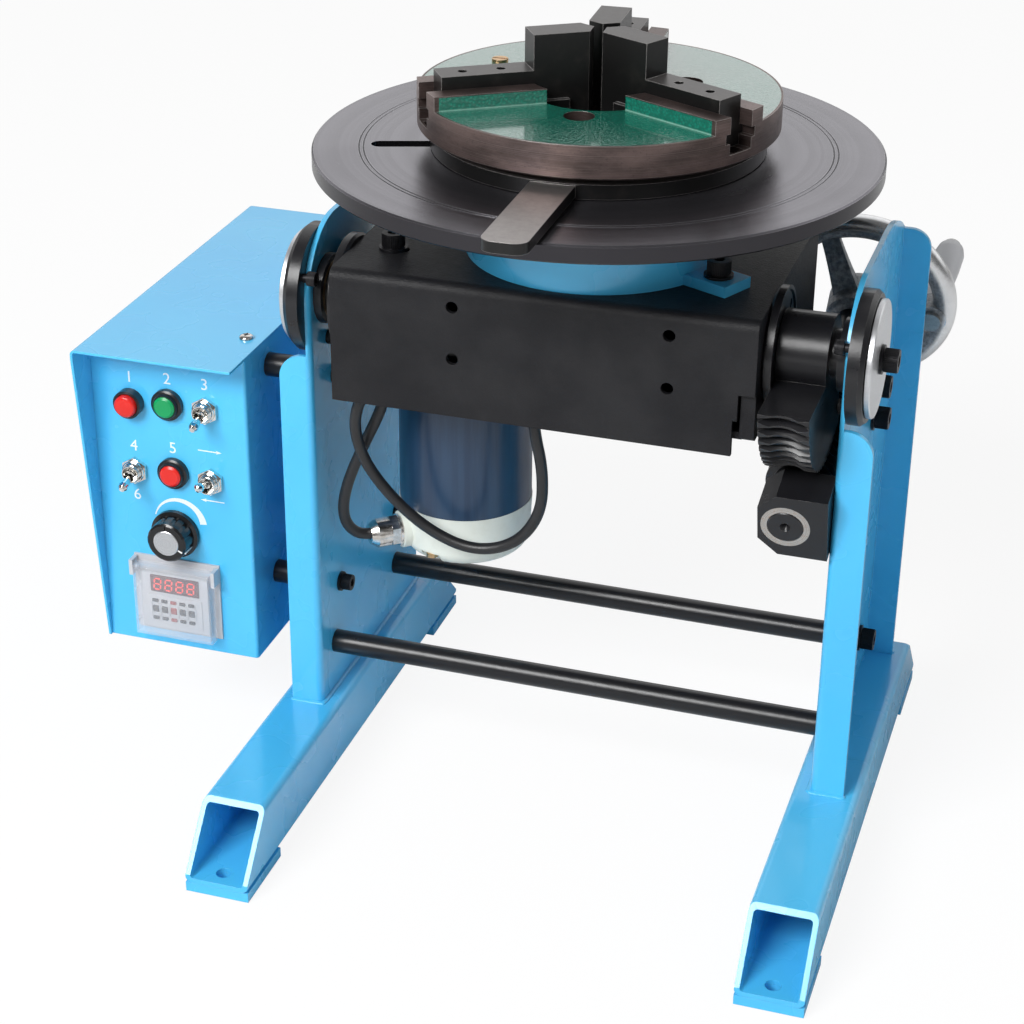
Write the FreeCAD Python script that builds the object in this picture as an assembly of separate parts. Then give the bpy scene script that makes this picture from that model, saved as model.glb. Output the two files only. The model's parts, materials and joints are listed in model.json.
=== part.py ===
"""Bench welding positioner: a table with a lever-worked three-jaw chuck on a head that a handwheel tilts."""

import math
import os

import FreeCAD, Part
from FreeCAD import Vector

os.makedirs("parts", exist_ok=True)

# ---------------------------------------------------------------- driving sizes (mm, X right, Y back, Z up)
# stand
WEB_IN = 149.0  # inner face of an upright's web, from the middle plane
SHEET = 3.0
FLANGE = 19.5  # how far an upright's flanges reach, web included
UPRIGHT_FRONT, UPRIGHT_BACK, UPRIGHT_BEND = -39.0, 131.0, 4.0
FLANGE_TOP_FRONT, FLANGE_TOP_BACK = 273.5, 328.0
FLANGE_CORNER_FRONT, FLANGE_CORNER_BACK = 14.0, 12.0
EAR_BACK, EAR_DROP, EAR_R = 17.0, 2.5, 43.0  # centre of the ear's arc from the tilt axis, and its radius
TOP_EDGE_RUN, TOP_EDGE_KNEE, TOP_EDGE_SAG = 56.0, 96.0, 4.5  # level part of the top edge, then its fall
FOOT_X, FOOT_W, FOOT_H, FOOT_WALL = 158.0, 38.0, 40.0, 3.0
FOOT_CORNER_OUT, FOOT_CORNER_IN, FOOT_LIP = 4.0, 2.0, 5.0
FOOT_LEN, FOOT_RAKE_FRONT, FOOT_RAKE_BACK = 359.0, 31.0, 36.0
PAD_LEN, PAD_T = 47.0, 6.0
FLOOR_HOLE_R, FLOOR_HOLE_EDGE = 4.5, 10.5
TIE_R, TIE_Z, TIE_FRONT_Y, TIE_REAR_Y = 7.0, 77.0, -15.0, 89.0
TIE_SCREW, TIE_SCREW_IN, TIE_TAP_DEEP = 8.0, 18.0, 20.0
# tilt axis and trunnions
TILT_Y, TILT_Z = -13.0, 306.0
TRUNNION_R = 13.5
RUNNING = 0.05  # radial clearance of a running fit
PIVOT_RING_R, PIVOT_RING_T, SPIGOT_R, SPIGOT_IN, BUSH_R = 36.5, 9.0, 20.0, 4.5, 16.5
PIVOT_SCREW, PIVOT_SCREW_R, PIVOT_SCREW_ANGLES = 5.0, 30.0, (30, 150, 270)
TRUNNION_FLANGE_R, TRUNNION_FLANGE_T = 33.0, 5.5
TRUNNION_SCREW, TRUNNION_SCREW_R, TRUNNION_SCREW_ANGLES = 6.0, 25.0, (45, 135, 225, 315)
CAP_R, CAP_T, CAP_SCREW, CAP_SCREW_IN = 32.0, 3.0, 8.0, 18.0
# tilting head
COVER_LEFT, COVER_RIGHT = -130.0, 107.0
COVER_FRONT, COVER_BACK = -55.5, 104.5
COVER_TOP, COVER_BOTTOM, COVER_BEND = 335.0, 258.0, 6.0
COVER_STEPS = ((98.0, 293.5), (95.5, 278.5))  # the front wall's lower right corner is cut back in two steps
COVER_HOLES_X, COVER_HOLES_Z, COVER_HOLE_MID, COVER_HOLE_R = 119.5, 30.0, 307.0, 3.4
COVER_BORE_R, COVER_SLOT_HALF, COVER_SLOT_LONG = 30.0, 4.3, 5.0
END_PLATE_T, END_PLATE_CORNER, GEARBOX_HALF, GEARBOX_CORNER = 8.0, 4.0, 36.0, 12.0
CHASSIS_Z, CHASSIS_T, CHASSIS_GAP = 266.0, 4.0, 2.5
CABLE_OPENING_BACK = -20.0  # the chassis floor is open at the front left as far back as this
# table and spindle
TABLE_X, TABLE_Y, TABLE_TOP = -3.0, 24.5, 394.0
TABLE_R, TABLE_T = 155.0, 10.0
TABLE_GROOVES = ((129.4, 0.5, 0.6), (127.0, 0.5, 0.6), (89.0, 0.8, 0.5))  # radius, half width, depth
SLOT_ANGLE, SLOT_IN, SLOT_OUT, SLOT_HALF = -161.0, 90.0, 118.0, 5.0
TABLE_SCREW, TABLE_SCREW_ANGLES, TABLE_SCREW_R = 5.0, (2.0, 122.0, 242.0), 17.5
HOUSING_R, HOUSING_WALL, HOUSING_LID = 72.0, 7.0, 12.0
LUG_ANGLES, LUG_BOLT_R, LUG_REACH, LUG_HALF, LUG_T = (-25.0, 155.0), 86.0, 99.0, 11.0, 6.0
LUG_SCREW, COVER_LUG_HOLE_R = 8.0, 4.0
SPINDLE_R, BEARING_R, BEARING_W, SEAT_LIP, SEAT_WALL = 12.5, 26.0, 15.0, 4.0, 8.0
THROUGH_BORE_R, FLANGE_R = 6.0, 22.0
HOUSING_TOP, UPPER_BEARING_Z = 382.0, 361.0
# spindle drive
DRIVE_MODULE, PINION_TEETH, GEAR_TEETH = 2.0, 20, 56
DRIVE_Z, DRIVE_FACE = 312.0, 12.0
GEAR_WINDOWS, GEAR_WINDOW_AT, GEAR_WINDOW_R, GEAR_HUB_R, GEAR_HUB_LONG = 5, 34.0, 11.0, 20.0, 8.0
PLATE_Z, PLATE_T, PILLAR_R, PLATE_BOLT = 298.0, 8.0, 7.0, 8.0
PLATE_OUTLINE = ((-120, -28), (-40, -28), (-40, 60), (-62, 96), (-96, 96), (-120, 76))
OUTPUT_R = 6.0
MOTOR_R, MOTOR_TOP, MOTOR_SEAM, MOTOR_BOTTOM = 39.2, 258.0, 171.0, 139.0
END_CAP_SCREW_ANGLES = (-105.0, 75.0)
GLAND_ANGLE, GLAND_Z = 219.0, 153.0
CABLE_R = 3.3
# tilt drive
WORM_MODULE, SECTOR_TEETH, WORM_R = 2.0, 60, 17.0
WORM_X, WORM_RISE = 126.0, 15.0  # plane of the worm, and its slope up to the back in degrees
SECTOR_FACE, SECTOR_RIM_R, SECTOR_BOSS_R = 27.0, 64.0, 21.0
SECTOR_TOP = -12.0  # flat upper face of the sector, from the tilt axis
FIRST_SPACE, LAST_SPACE = -3, 17  # tooth spaces that are cut, counted from the worm
SCREW_R, WORM_SHOULDER_R = 10.0, 13.0  # worm shaft and its shoulders
SHAFT_FRONT, SHAFT_BACK = -57.0, 152.0  # along the worm's axis, as are the next three lines
WORM_HALF, THREAD_HALF = 27.0, 24.0
FRONT_BLOCK, REAR_BLOCK = (-56.5, -33.0), (48.0, 69.5)
FRONT_SCREW_ALONG, REAR_SCREW_ALONG = -37.0, 58.75
FRONT_SCREW, REAR_SCREW, BLOCK_SCREW_UP, BLOCK_SCREW_IN, BLOCK_TAP_DEEP = 5.0, 8.0, 11.5, 11.0, 14.0
BLOCK_UP, BLOCK_LEFT, WORM_BUSH_R = 20.5, 110.8, 13.5
# handwheel, along the worm's axis
WHEEL_RIM_R, WHEEL_TUBE_R, WHEEL_PLANE = 50.5, 7.0, 155.0
SPOKE_ANGLES = (-113.0, 7.0, 127.0)
SPOKE_SECTIONS = ((12.0, 17.0, 11.0, 142.0), (30.0, 13.0, 9.0, 148.0),
                  (WHEEL_RIM_R, 11.0, 8.0, WHEEL_PLANE))  # radius, width, depth, place along the axis
GRIP_R, GRIP_BOLT_R, GRIP_BOSS_R = 44.0, 4.0, 9.0
GRIP_BOLT_START, GRIP_BOSS_START, GRIP_BOSS_END, GRIP_BOLT_END = 144.0, 147.0, 162.0, 224.0
# chuck
CHUCK_R, CHUCK_BOTTOM, CHUCK_FLOOR, GUIDE_TOP = 98.0, 407.0, 425.0, 433.0
HUB_R, CHUCK_BORE_R, CHUCK_SCREW_R = 29.0, 12.0, 24.5
FLOOR_SLAB, TONGUE_LOW, TONGUE_HIGH, TONGUE = 413.0, 419.0, 424.0, 3.0
SLOT_CLEAR, TONGUE_CLEAR, RACK_CLEAR = 0.06, 0.1, 0.4
GUIDE_HALF, JAW_W = 19.0, 17.0
JAW_STEP_TOP, JAW_TOP = 440.0, 459.0
JAW_ANGLES, MID_SECTORS = (93.5, 213.5, 333.5), (-86.5, 33.5, 153.5)
JAW_REACH, JAW_TIP, JAW_BLOCK_REACH, JAW_TRAVEL = 89.5, 4.0, 39.5, 22.0
JAW_HOLES, JAW_HOLE_R, JAW_HOLE_DEEP = (55.0, 76.0), 2.5, 18.0
RACK_HALF, RACK_END, RACK_TOOTH_HALF, TONGUE_START = 3.8, 74.0, 1.7, 20.0
CENTRE_R = 40.0  # open centre of the chuck's face
WINDOW_R, WINDOW_AT = 8.25, 50.0
PLUG_ANGLE, PLUG_AT, PLUG_R, PLUG_HEAD_R, PLUG_DEEP = 155.0, 73.0, 3.0, 4.6, 10.0
SCROLL_PITCH = 10.0
SCROLL_BOTTOM, SCROLL_FACE, RIDGE_TOP = 394.5, 402.5, 406.6
SCROLL_R, RIDGE_HALF, RIDGE_START = 91.0, 1.9, 32.0
LEVERS = ((-89.2, 178.5), (90.8, 169.0), (76.5, 158.0))  # angle, reach
LEVER_HALF, LEVER_T, LEVER_CORNER = 12.0, 6.0, 7.0
# control case and its fittings, (X, Z) on the front panel
CASE_RIGHT, CASE_LEFT, CASE_FRONT, CASE_BACK = -190.0, -287.0, -39.0, 190.0
CASE_BOTTOM, LID_TOP, LID_FRONT, LID_BACK = 70.0, 267.4, -60.0, 194.0
CASE_SHEET, CASE_BEND, LID_BEND, CASE_FLANGE = 1.5, 2.0, 3.0, 16.0
CASE_BOLTS = [(y, z) for y in (-5.0, 91.0) for z in (113.0, 250.0)]
CASE_SCREW, CASE_SCREW_IN, STANDOFF_R = 6.0, 14.0, 7.0
LID_SCREWS, LID_SCREW_R = ((-200.0, -12.0), (-200.0, 150.0)), 2.0
LAMP, LAMP_R = (-263.0, 230.0), 6.0
RESET, LOCK, COLLAR_R = (-239.0, 232.0), (-238.0, 188.0), 7.9
TOGGLES = {"power_toggle": (-215.5, 231.6, 1), "mode_toggle": (-263.0, 186.0, 1),
           "direction_toggle": (-214.4, 186.0, -1)}
TOGGLE_BUSH_R, TOGGLE_PIVOT_Y, TOGGLE_THROW = 5.5, CASE_FRONT - 4.6, 16.0
TOGGLE_PIN_R, TOGGLE_PIN_HALF = 0.9, 4.2
KNOB, POT_BUSH_R, POT_SHAFT_R = (-239.0, 148.0), 4.5, 3.0
KNOB_FLUTES, KNOB_FLUTE_AT, KNOB_FLUTE_R = 12, 14.6, 2.4
BUTTON_R = 6.5
TIMER_X, TIMER_Z, TIMER_HALF_W, TIMER_HALF_H, TIMER_BOX_HALF = -240.0, 104.0, 25.0, 24.0, 21.0
TIMER_OPENING_HALF, COVER_DEEP, COVER_SKIN = 22.0, 11.0, 1.3
HINGE_Y, HINGE_Z, HINGE_PIN_R = CASE_FRONT - 5.5, TIMER_Z + 20.0, 1.5
PANEL_REAR = 22.0  # how far lamps, buttons and switches reach behind the panel's face

MOTOR_X = TABLE_X - DRIVE_MODULE * (PINION_TEETH + GEAR_TEETH) / 2
SECTOR_R = WORM_MODULE * SECTOR_TEETH / 2
WORM_DROP = SECTOR_R + WORM_R  # worm axis to tilt axis
WEB_OUT = WEB_IN + SHEET
FOOT_TOP = PAD_T + FOOT_H


# ---------------------------------------------------------------- helpers
def vec(x, y, z):
    return Vector(x, y, z)


def box(x0, x1, y0, y1, z0, z1):
    return Part.makeBox(x1 - x0, y1 - y0, z1 - z0, vec(x0, y0, z0))


def rod(start, end, radius):
    """Solid cylinder from one point to another."""
    along = end - start
    return Part.makeCylinder(radius, along.Length, start, along)


def tube(start, end, outer, inner):
    return rod(start, end, outer).cut(rod(start, end, inner))


def prism(points, direction):
    """Closed polygon swept along a vector."""
    wire = Part.makePolygon(list(points) + [points[0]])
    return Part.Face(wire).extrude(direction)


def rounded_rect(x0, x1, z0, z1, y, radius):
    """Rounded rectangle in the XZ plane at a given Y, as a face."""
    corners = [(x1 - radius, z1 - radius, 0), (x0 + radius, z1 - radius, 90),
               (x0 + radius, z0 + radius, 180), (x1 - radius, z0 + radius, 270)]
    edges, ends = [], []
    for cx, cz, start in corners:
        p = [vec(cx + radius * math.cos(math.radians(start + a)), y,
                 cz + radius * math.sin(math.radians(start + a))) for a in (0, 45, 90)]
        edges.append(Part.Arc(*p).toShape())
        ends.append((p[0], p[2]))
    sides = [Part.makeLine(ends[i][1], ends[(i + 1) % 4][0]) for i in range(4)]
    ordered = [e for pair in zip(edges, sides) for e in pair]
    return Part.Face(Part.Wire(ordered))


def revolved(points, origin, axis, radial):
    """Solid of revolution: points are (distance along axis, radius)."""
    axis, radial = Vector(axis).normalize(), Vector(radial).normalize()
    place = [origin + axis * a + radial * r for a, r in points]
    wire = Part.makePolygon(place + [place[0]])
    return Part.Face(wire).revolve(origin, axis, 360)


def turned(points, x, y):
    """Solid turned about a vertical axis; points are (height, radius)."""
    return revolved(points, vec(x, y, 0), vec(0, 0, 1), vec(1, 0, 0))


def hexagon(centre, axis, across_flats, height):
    radial = vec(0, 0, 1) if abs(axis.z) < 0.9 else vec(1, 0, 0)
    side = axis.cross(radial).normalize()
    radial = side.cross(axis).normalize()
    reach = across_flats / math.sqrt(3)
    corners = []
    for i in range(6):
        a = math.radians(60 * i)
        corners.append(centre + radial * (reach * math.cos(a)) + side * (reach * math.sin(a)))
    return prism(corners, axis * height)


def socket_screw(seat, out, size, length, washer=True):
    """Socket-head cap screw: its head or washer sits at seat and faces along out, its shank goes in."""
    out = Vector(out).normalize()
    head_r, head_h, key = size * 0.78, size, size * 0.75
    lift = 1.6 if washer else 0.0
    base = seat + out * lift
    head = rod(base, base + out * head_h, head_r)
    head = head.cut(hexagon(base + out * (head_h * 0.45), out, key, head_h))
    screw = head.fuse(rod(seat - out * length, base, size / 2))
    if washer:
        screw = screw.fuse(tube(seat, base, size, size / 2))
    return screw.removeSplitter()


def polar(x, y, radius, degrees, z):
    a = math.radians(degrees)
    return vec(x + radius * math.cos(a), y + radius * math.sin(a), z)


def spun(shape, x, y, degrees):
    """Copy turned about the vertical line through (x, y)."""
    copy = shape.copy()
    copy.rotate(vec(x, y, 0), vec(0, 0, 1), degrees)
    return copy


def mirrored(shape):
    return shape.mirror(vec(0, 0, 0), vec(1, 0, 0))


def group(shapes):
    return Part.makeCompound(list(shapes))


NODES = {}


def save(name, shape):
    solids = shape.Solids
    for solid in solids:
        if not solid.isValid():
            print("INVALID", name)
    if len(solids) == 1:
        shape = solids[0]
    else:
        shape = Part.makeCompound(solids)
    NODES[name] = shape
    shape.exportStep(os.path.join("parts", name + ".step"))


# ---------------------------------------------------------------- stand
def foot(x):
    """Open square tube, both ends cut on a slant so that its floor reaches furthest."""
    half, y0, y1 = FOOT_W / 2, -FOOT_LEN / 2, FOOT_LEN / 2
    outer = rounded_rect(x - half, x + half, PAD_T, FOOT_TOP, y0,
                         FOOT_CORNER_OUT).extrude(vec(0, FOOT_LEN, 0))
    inner = rounded_rect(x - half + FOOT_WALL, x + half - FOOT_WALL, PAD_T + FOOT_WALL, FOOT_TOP - FOOT_WALL,
                         y0, FOOT_CORNER_IN).extrude(vec(0, FOOT_LEN, 0))
    body = outer.cut(inner)
    for end, rake in ((-1, FOOT_RAKE_FRONT), (1, FOOT_RAKE_BACK)):
        y = end * FOOT_LEN / 2
        slant = [(y - end * rake, FOOT_TOP + 1), (y, PAD_T + FOOT_LIP), (y + end, PAD_T + FOOT_LIP),
                 (y + end, FOOT_TOP + 1)]
        wedge = prism([vec(x - FOOT_W, along, z) for along, z in slant], vec(2 * FOOT_W, 0, 0))
        body = body.cut(wedge)
    for end in (-1, 1):
        y = end * (FOOT_LEN / 2 - FLOOR_HOLE_EDGE)
        body = body.cut(rod(vec(x, y, PAD_T - 1), vec(x, y, PAD_T + FOOT_WALL + 1), FLOOR_HOLE_R))
    return body


def foot_pads():
    pads = []
    for x in (-FOOT_X, FOOT_X):
        for end in (-1, 1):
            y0 = end * (FOOT_LEN / 2 - PAD_LEN)
            y1 = end * FOOT_LEN / 2
            pad = box(x - FOOT_W / 2, x + FOOT_W / 2, min(y0, y1), max(y0, y1), 0, PAD_T)
            y = end * (FOOT_LEN / 2 - FLOOR_HOLE_EDGE)
            pads.append(pad.cut(rod(vec(x, y, -1), vec(x, y, PAD_T + 1), FLOOR_HOLE_R)))
    return group(pads)


def web_outline(x):
    """Side face of an upright: straight front, round ear about the pivot, top edge falling to the back."""
    cy, cz = TILT_Y + EAR_BACK, TILT_Z - EAR_DROP
    top = cz + EAR_R
    front, back = cy - EAR_R, UPRIGHT_BACK
    s = EAR_R * math.sqrt(0.5)
    foot_front, foot_back = vec(x, front, FOOT_TOP), vec(x, back, FOOT_TOP)
    ear_front, ear_mid, ear_top = vec(x, front, cz), vec(x, cy - s, cz + s), vec(x, cy, top)
    fall_start, fall_mid = vec(x, cy + TOP_EDGE_RUN, top), vec(x, cy + TOP_EDGE_KNEE, top - TOP_EDGE_SAG)
    fall_end = vec(x, back, FLANGE_TOP_BACK)
    edges = [Part.makeLine(foot_front, ear_front), Part.Arc(ear_front, ear_mid, ear_top).toShape(),
             Part.makeLine(ear_top, fall_start), Part.Arc(fall_start, fall_mid, fall_end).toShape(),
             Part.makeLine(fall_end, foot_back), Part.makeLine(foot_back, foot_front)]
    return Part.Face(Part.Wire(edges))


def upright():
    """Right upright, one folded plate: web with both flanges turned outwards."""
    x0, x1 = WEB_IN, WEB_IN + FLANGE
    y0, y1 = UPRIGHT_FRONT, UPRIGHT_BACK
    height = TILT_Z + 60
    outer = box(x0, x1, y0, y1, FOOT_TOP, height)
    corners = [e for e in outer.Edges if abs(e.Vertexes[0].X - x0) < 1e-6 and abs(e.Vertexes[1].X - x0) < 1e-6
               and abs(e.Vertexes[0].Y - e.Vertexes[1].Y) < 1e-6]
    outer = outer.makeFillet(UPRIGHT_BEND, corners)
    inner = box(x0 + SHEET, x1 + 1, y0 + SHEET, y1 - SHEET, FOOT_TOP - 1, height + 1)
    body = outer.cut(inner)
    body = body.common(web_outline(x0 - 1).extrude(vec(FLANGE + 2, 0, 0)))
    for y, top, radius in ((y0 - 1, FLANGE_TOP_FRONT, FLANGE_CORNER_FRONT),
                           (y1 - SHEET - 1, FLANGE_TOP_BACK, FLANGE_CORNER_BACK)):
        clear = box(x0 + SHEET, x1 + 2, y, y + SHEET + 2, top, height + 2)
        corner = box(x1 - radius, x1 + 2, y, y + SHEET + 2, top - radius, top + 1)
        arc_centre = vec(x1 - radius, y - 1, top - radius)
        corner = corner.cut(rod(arc_centre, arc_centre + vec(0, SHEET + 4, 0), radius))
        body = body.cut(clear).cut(corner)
    body = body.cut(rod(vec(x0 - 1, TILT_Y, TILT_Z), vec(x0 + 9, TILT_Y, TILT_Z), SPIGOT_R))
    for y in (TIE_FRONT_Y, TIE_REAR_Y):
        body = body.cut(rod(vec(x0 - 1, y, TIE_Z), vec(x0 + 9, y, TIE_Z), TIE_SCREW / 2))
    for y, z in pivot_screw_places():
        body = body.cut(rod(vec(x0 - 1, y, z), vec(x0 + 9, y, z), PIVOT_SCREW / 2))
    return body


def around_tilt_axis(radius, degrees):
    """(Y, Z) places on a circle about the tilt axis."""
    return [(TILT_Y + radius * math.cos(math.radians(a)), TILT_Z + radius * math.sin(math.radians(a)))
            for a in degrees]


def pivot_screw_places():
    return around_tilt_axis(PIVOT_SCREW_R, PIVOT_SCREW_ANGLES)


def left_upright():
    body = mirrored(upright())
    for y, z in CASE_BOLTS:
        body = body.cut(rod(vec(-WEB_IN + 1, y, z), vec(-WEB_OUT - 1, y, z), CASE_SCREW / 2))
    return body


def right_upright():
    body = upright()
    for along, size in ((FRONT_SCREW_ALONG, FRONT_SCREW), (REAR_SCREW_ALONG, REAR_SCREW)):
        for place in block_screw_places(along):
            body = body.cut(rod(place - vec(1, 0, 0), place + vec(9, 0, 0), size / 2))
    return body


def tie_bar(y):
    bar = rod(vec(-WEB_IN, y, TIE_Z), vec(WEB_IN, y, TIE_Z), TIE_R)
    for end in (-1, 1):
        bar = bar.cut(rod(vec(end * WEB_IN, y, TIE_Z), vec(end * (WEB_IN - TIE_TAP_DEEP), y, TIE_Z),
                          TIE_SCREW / 2))
    return bar


def tie_bar_screws():
    return group(socket_screw(vec(end * WEB_OUT, y, TIE_Z), vec(end, 0, 0), TIE_SCREW, SHEET + TIE_SCREW_IN)
                 for y in (TIE_FRONT_Y, TIE_REAR_Y) for end in (-1, 1))


# ---------------------------------------------------------------- pivots
def pivot_housing():
    """Right pivot housing: a black ring outside the web whose spigot comes through it."""
    r, end, start = PIVOT_RING_R, WEB_OUT + PIVOT_RING_T, WEB_IN - SPIGOT_IN
    profile = [(WEB_OUT, SPIGOT_R), (WEB_OUT, r), (end - 2.5, r), (end, r - 2.0), (end, BUSH_R),
               (start, BUSH_R),
               (start, SPIGOT_R)]
    body = revolved(profile, vec(0, TILT_Y, TILT_Z), vec(1, 0, 0), vec(0, 0, 1))
    for y, z in pivot_screw_places():
        body = body.cut(rod(vec(WEB_OUT - 1, y, z), vec(WEB_OUT + 8, y, z), PIVOT_SCREW / 2))
    return body


def pivot_bush():
    start = vec(WEB_IN - SPIGOT_IN, TILT_Y, TILT_Z)
    end = vec(WEB_OUT + PIVOT_RING_T, TILT_Y, TILT_Z)
    return tube(start, end, BUSH_R, TRUNNION_R + RUNNING)


def pivot_screws():
    right = [socket_screw(vec(WEB_IN, y, z), vec(-1, 0, 0), PIVOT_SCREW, SHEET + 8, washer=False)
             for y, z in pivot_screw_places()]
    return group(right + [mirrored(s) for s in right])


# ---------------------------------------------------------------- tilting head
SHAFT_END = WEB_OUT + PIVOT_RING_T + 0.5


def trunnion(side):
    """Flanged shaft bolted to an end plate."""
    face = COVER_RIGHT if side > 0 else -COVER_LEFT
    outer = face + TRUNNION_FLANGE_T
    r = TRUNNION_FLANGE_R
    profile = [(face, 0), (face, r - 1.5), (face + 1.5, r), (outer, r), (outer, r - 2), (outer - 1, r - 3),
               (outer - 1, 20), (outer, 19), (outer, TRUNNION_R), (SHAFT_END, TRUNNION_R), (SHAFT_END, 0)]
    body = revolved(profile, vec(0, TILT_Y, TILT_Z), vec(1, 0, 0), vec(0, 0, 1))
    body = body.cut(rod(vec(SHAFT_END - 22, TILT_Y, TILT_Z), vec(SHAFT_END + 1, TILT_Y, TILT_Z),
                        CAP_SCREW / 2))
    for y, z in trunnion_screw_places():
        body = body.cut(rod(vec(face - 1, y, z), vec(outer + 1, y, z), TRUNNION_SCREW / 2))
    return body if side > 0 else mirrored(body)


def trunnion_screw_places():
    return around_tilt_axis(TRUNNION_SCREW_R, TRUNNION_SCREW_ANGLES)


def trunnion_screws():
    """Cap screws from inside the head through the end plates into the trunnion flanges."""
    screws = []
    for y, z in trunnion_screw_places():
        for x, out in ((COVER_RIGHT - END_PLATE_T, -1), (COVER_LEFT + END_PLATE_T, 1)):
            screws.append(socket_screw(vec(x, y, z), vec(out, 0, 0), TRUNNION_SCREW, END_PLATE_T + 4, False))
    return group(screws)


def trunnion_cap():
    """Right end disc, held on the end of its trunnion."""
    x = SHAFT_END
    profile = [(x, 4.2), (x, CAP_R), (x + CAP_T - 0.6, CAP_R), (x + CAP_T, CAP_R - 0.6), (x + CAP_T, 4.2)]
    return revolved(profile, vec(0, TILT_Y, TILT_Z), vec(1, 0, 0), vec(0, 0, 1))


def cap_screws():
    right = socket_screw(vec(SHAFT_END + CAP_T, TILT_Y, TILT_Z), vec(1, 0, 0), CAP_SCREW,
                         CAP_T + CAP_SCREW_IN)
    return group([right, mirrored(right)])


def head_cover():
    """Folded sheet: front, top and back walls, open below, with its front cut back at the lower right."""
    x0, x1, y0, y1 = COVER_LEFT, COVER_RIGHT, COVER_FRONT, COVER_BACK
    z0, z1, t, bend = COVER_BOTTOM, COVER_TOP, SHEET, COVER_BEND
    outer = box(x0, x1, y0, y1, z0, z1)
    edges = [e for e in outer.Edges if all(abs(v.Z - z1) < 1e-6 for v in e.Vertexes)
             and abs(e.Vertexes[0].Y - e.Vertexes[1].Y) < 1e-6]
    outer = outer.makeFillet(bend, edges)
    inner = box(x0 - 1, x1 + 1, y0 + t, y1 - t, z0 - 1, z1 - t)
    edges = [e for e in inner.Edges if all(abs(v.Z - (z1 - t)) < 1e-6 for v in e.Vertexes)
             and abs(e.Vertexes[0].Y - e.Vertexes[1].Y) < 1e-6]
    body = outer.cut(inner.makeFillet(bend - t, edges))
    for x, z in COVER_STEPS:
        body = body.cut(box(x, x1 + 1, y0 - 1, y0 + t + 3, z0 - 1, z))
    for x, z in cover_hole_places():
        body = body.cut(rod(vec(x, y0 - 1, z), vec(x, y0 + t + 1, z), COVER_HOLE_R))
    body = body.cut(rod(vec(TABLE_X, TABLE_Y, z1 - t - 1), vec(TABLE_X, TABLE_Y, z1 + 1), COVER_BORE_R))
    half = COVER_SLOT_HALF
    for x, y in plate_bolt_places():
        end = x + COVER_SLOT_LONG
        slot = box(x, end, y - half, y + half, z1 - t - 1, z1 + 1)
        for place in (x, end):
            slot = slot.fuse(rod(vec(place, y, z1 - t - 1), vec(place, y, z1 + 1), half))
        body = body.cut(slot)
    for place in lug_places(z1):
        body = body.cut(rod(place - vec(0, 0, t + 1), place + vec(0, 0, 1), COVER_LUG_HOLE_R))
    return body


def cover_hole_places():
    return [(sx * COVER_HOLES_X / 2, COVER_HOLE_MID + sz * COVER_HOLES_Z / 2) for sx in (-1, 1)
            for sz in (-1, 1)]


def end_plate(side):
    x = COVER_RIGHT if side > 0 else COVER_LEFT
    x0, x1 = (x - END_PLATE_T, x) if side > 0 else (x, x + END_PLATE_T)
    plate = box(x0, x1, COVER_FRONT + SHEET, COVER_BACK - SHEET, CHASSIS_Z, COVER_TOP - SHEET)
    edges = [e for e in plate.Edges if abs(e.Length - END_PLATE_T) < 1e-6]
    plate = plate.makeFillet(END_PLATE_CORNER, edges)
    for y, z in trunnion_screw_places():
        plate = plate.cut(rod(vec(x0 - 1, y, z), vec(x1 + 1, y, z), TRUNNION_SCREW / 2))
    return plate


def chassis():
    """End plates joined by a floor with openings for the gearbox and, at the front left, for the cables."""
    y0, y1 = COVER_FRONT + SHEET + CHASSIS_GAP, COVER_BACK - SHEET - CHASSIS_GAP
    z0, z1 = CHASSIS_Z, CHASSIS_Z + CHASSIS_T
    x0, x1 = COVER_LEFT + END_PLATE_T - 1, COVER_RIGHT - END_PLATE_T + 1
    reach = GEARBOX_HALF + CHASSIS_GAP
    floor = box(x0, x1, y0, y1, z0, z1)
    floor = floor.cut(box(x0 - 1, 0, y0 - 1, CABLE_OPENING_BACK, z0 - 1, z1 + 1))
    floor = floor.cut(box(MOTOR_X - reach, MOTOR_X + reach, TABLE_Y - reach, TABLE_Y + reach, z0 - 1,
                          z1 + 1))
    return end_plate(-1).fuse(floor).fuse(end_plate(1)).removeSplitter()


def lug_places(z):
    return [polar(TABLE_X, TABLE_Y, LUG_BOLT_R, a, z) for a in LUG_ANGLES]


def bearing_housing():
    """Turned housing on the cover's top, hollow below, with two bearing seats and two bolted lugs."""
    z0, z1 = COVER_TOP, HOUSING_TOP
    low, high, roof = z0 + BEARING_W, UPPER_BEARING_Z, z1 - HOUSING_LID
    profile = [(z0, HOUSING_R), (z1 - 2, HOUSING_R), (z1, HOUSING_R - 2), (z1, BEARING_R), (high, BEARING_R),
               (high, BEARING_R - SEAT_LIP), (low, BEARING_R - SEAT_LIP), (low, BEARING_R), (z0, BEARING_R),
               (z0, BEARING_R + SEAT_WALL), (roof, BEARING_R + SEAT_WALL), (roof, HOUSING_R - HOUSING_WALL),
               (z0, HOUSING_R - HOUSING_WALL)]
    body = turned(profile, TABLE_X, TABLE_Y)
    for angle in LUG_ANGLES:
        lug = box(TABLE_X + HOUSING_R - 4, TABLE_X + LUG_REACH, TABLE_Y - LUG_HALF, TABLE_Y + LUG_HALF, z0,
                  z0 + LUG_T)
        hole = vec(TABLE_X + LUG_BOLT_R, TABLE_Y, z0 - 1)
        lug = lug.cut(rod(hole, hole + vec(0, 0, LUG_T + 2), LUG_SCREW / 2))
        body = body.fuse(spun(lug, TABLE_X, TABLE_Y, angle))
    return body.removeSplitter()


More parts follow.
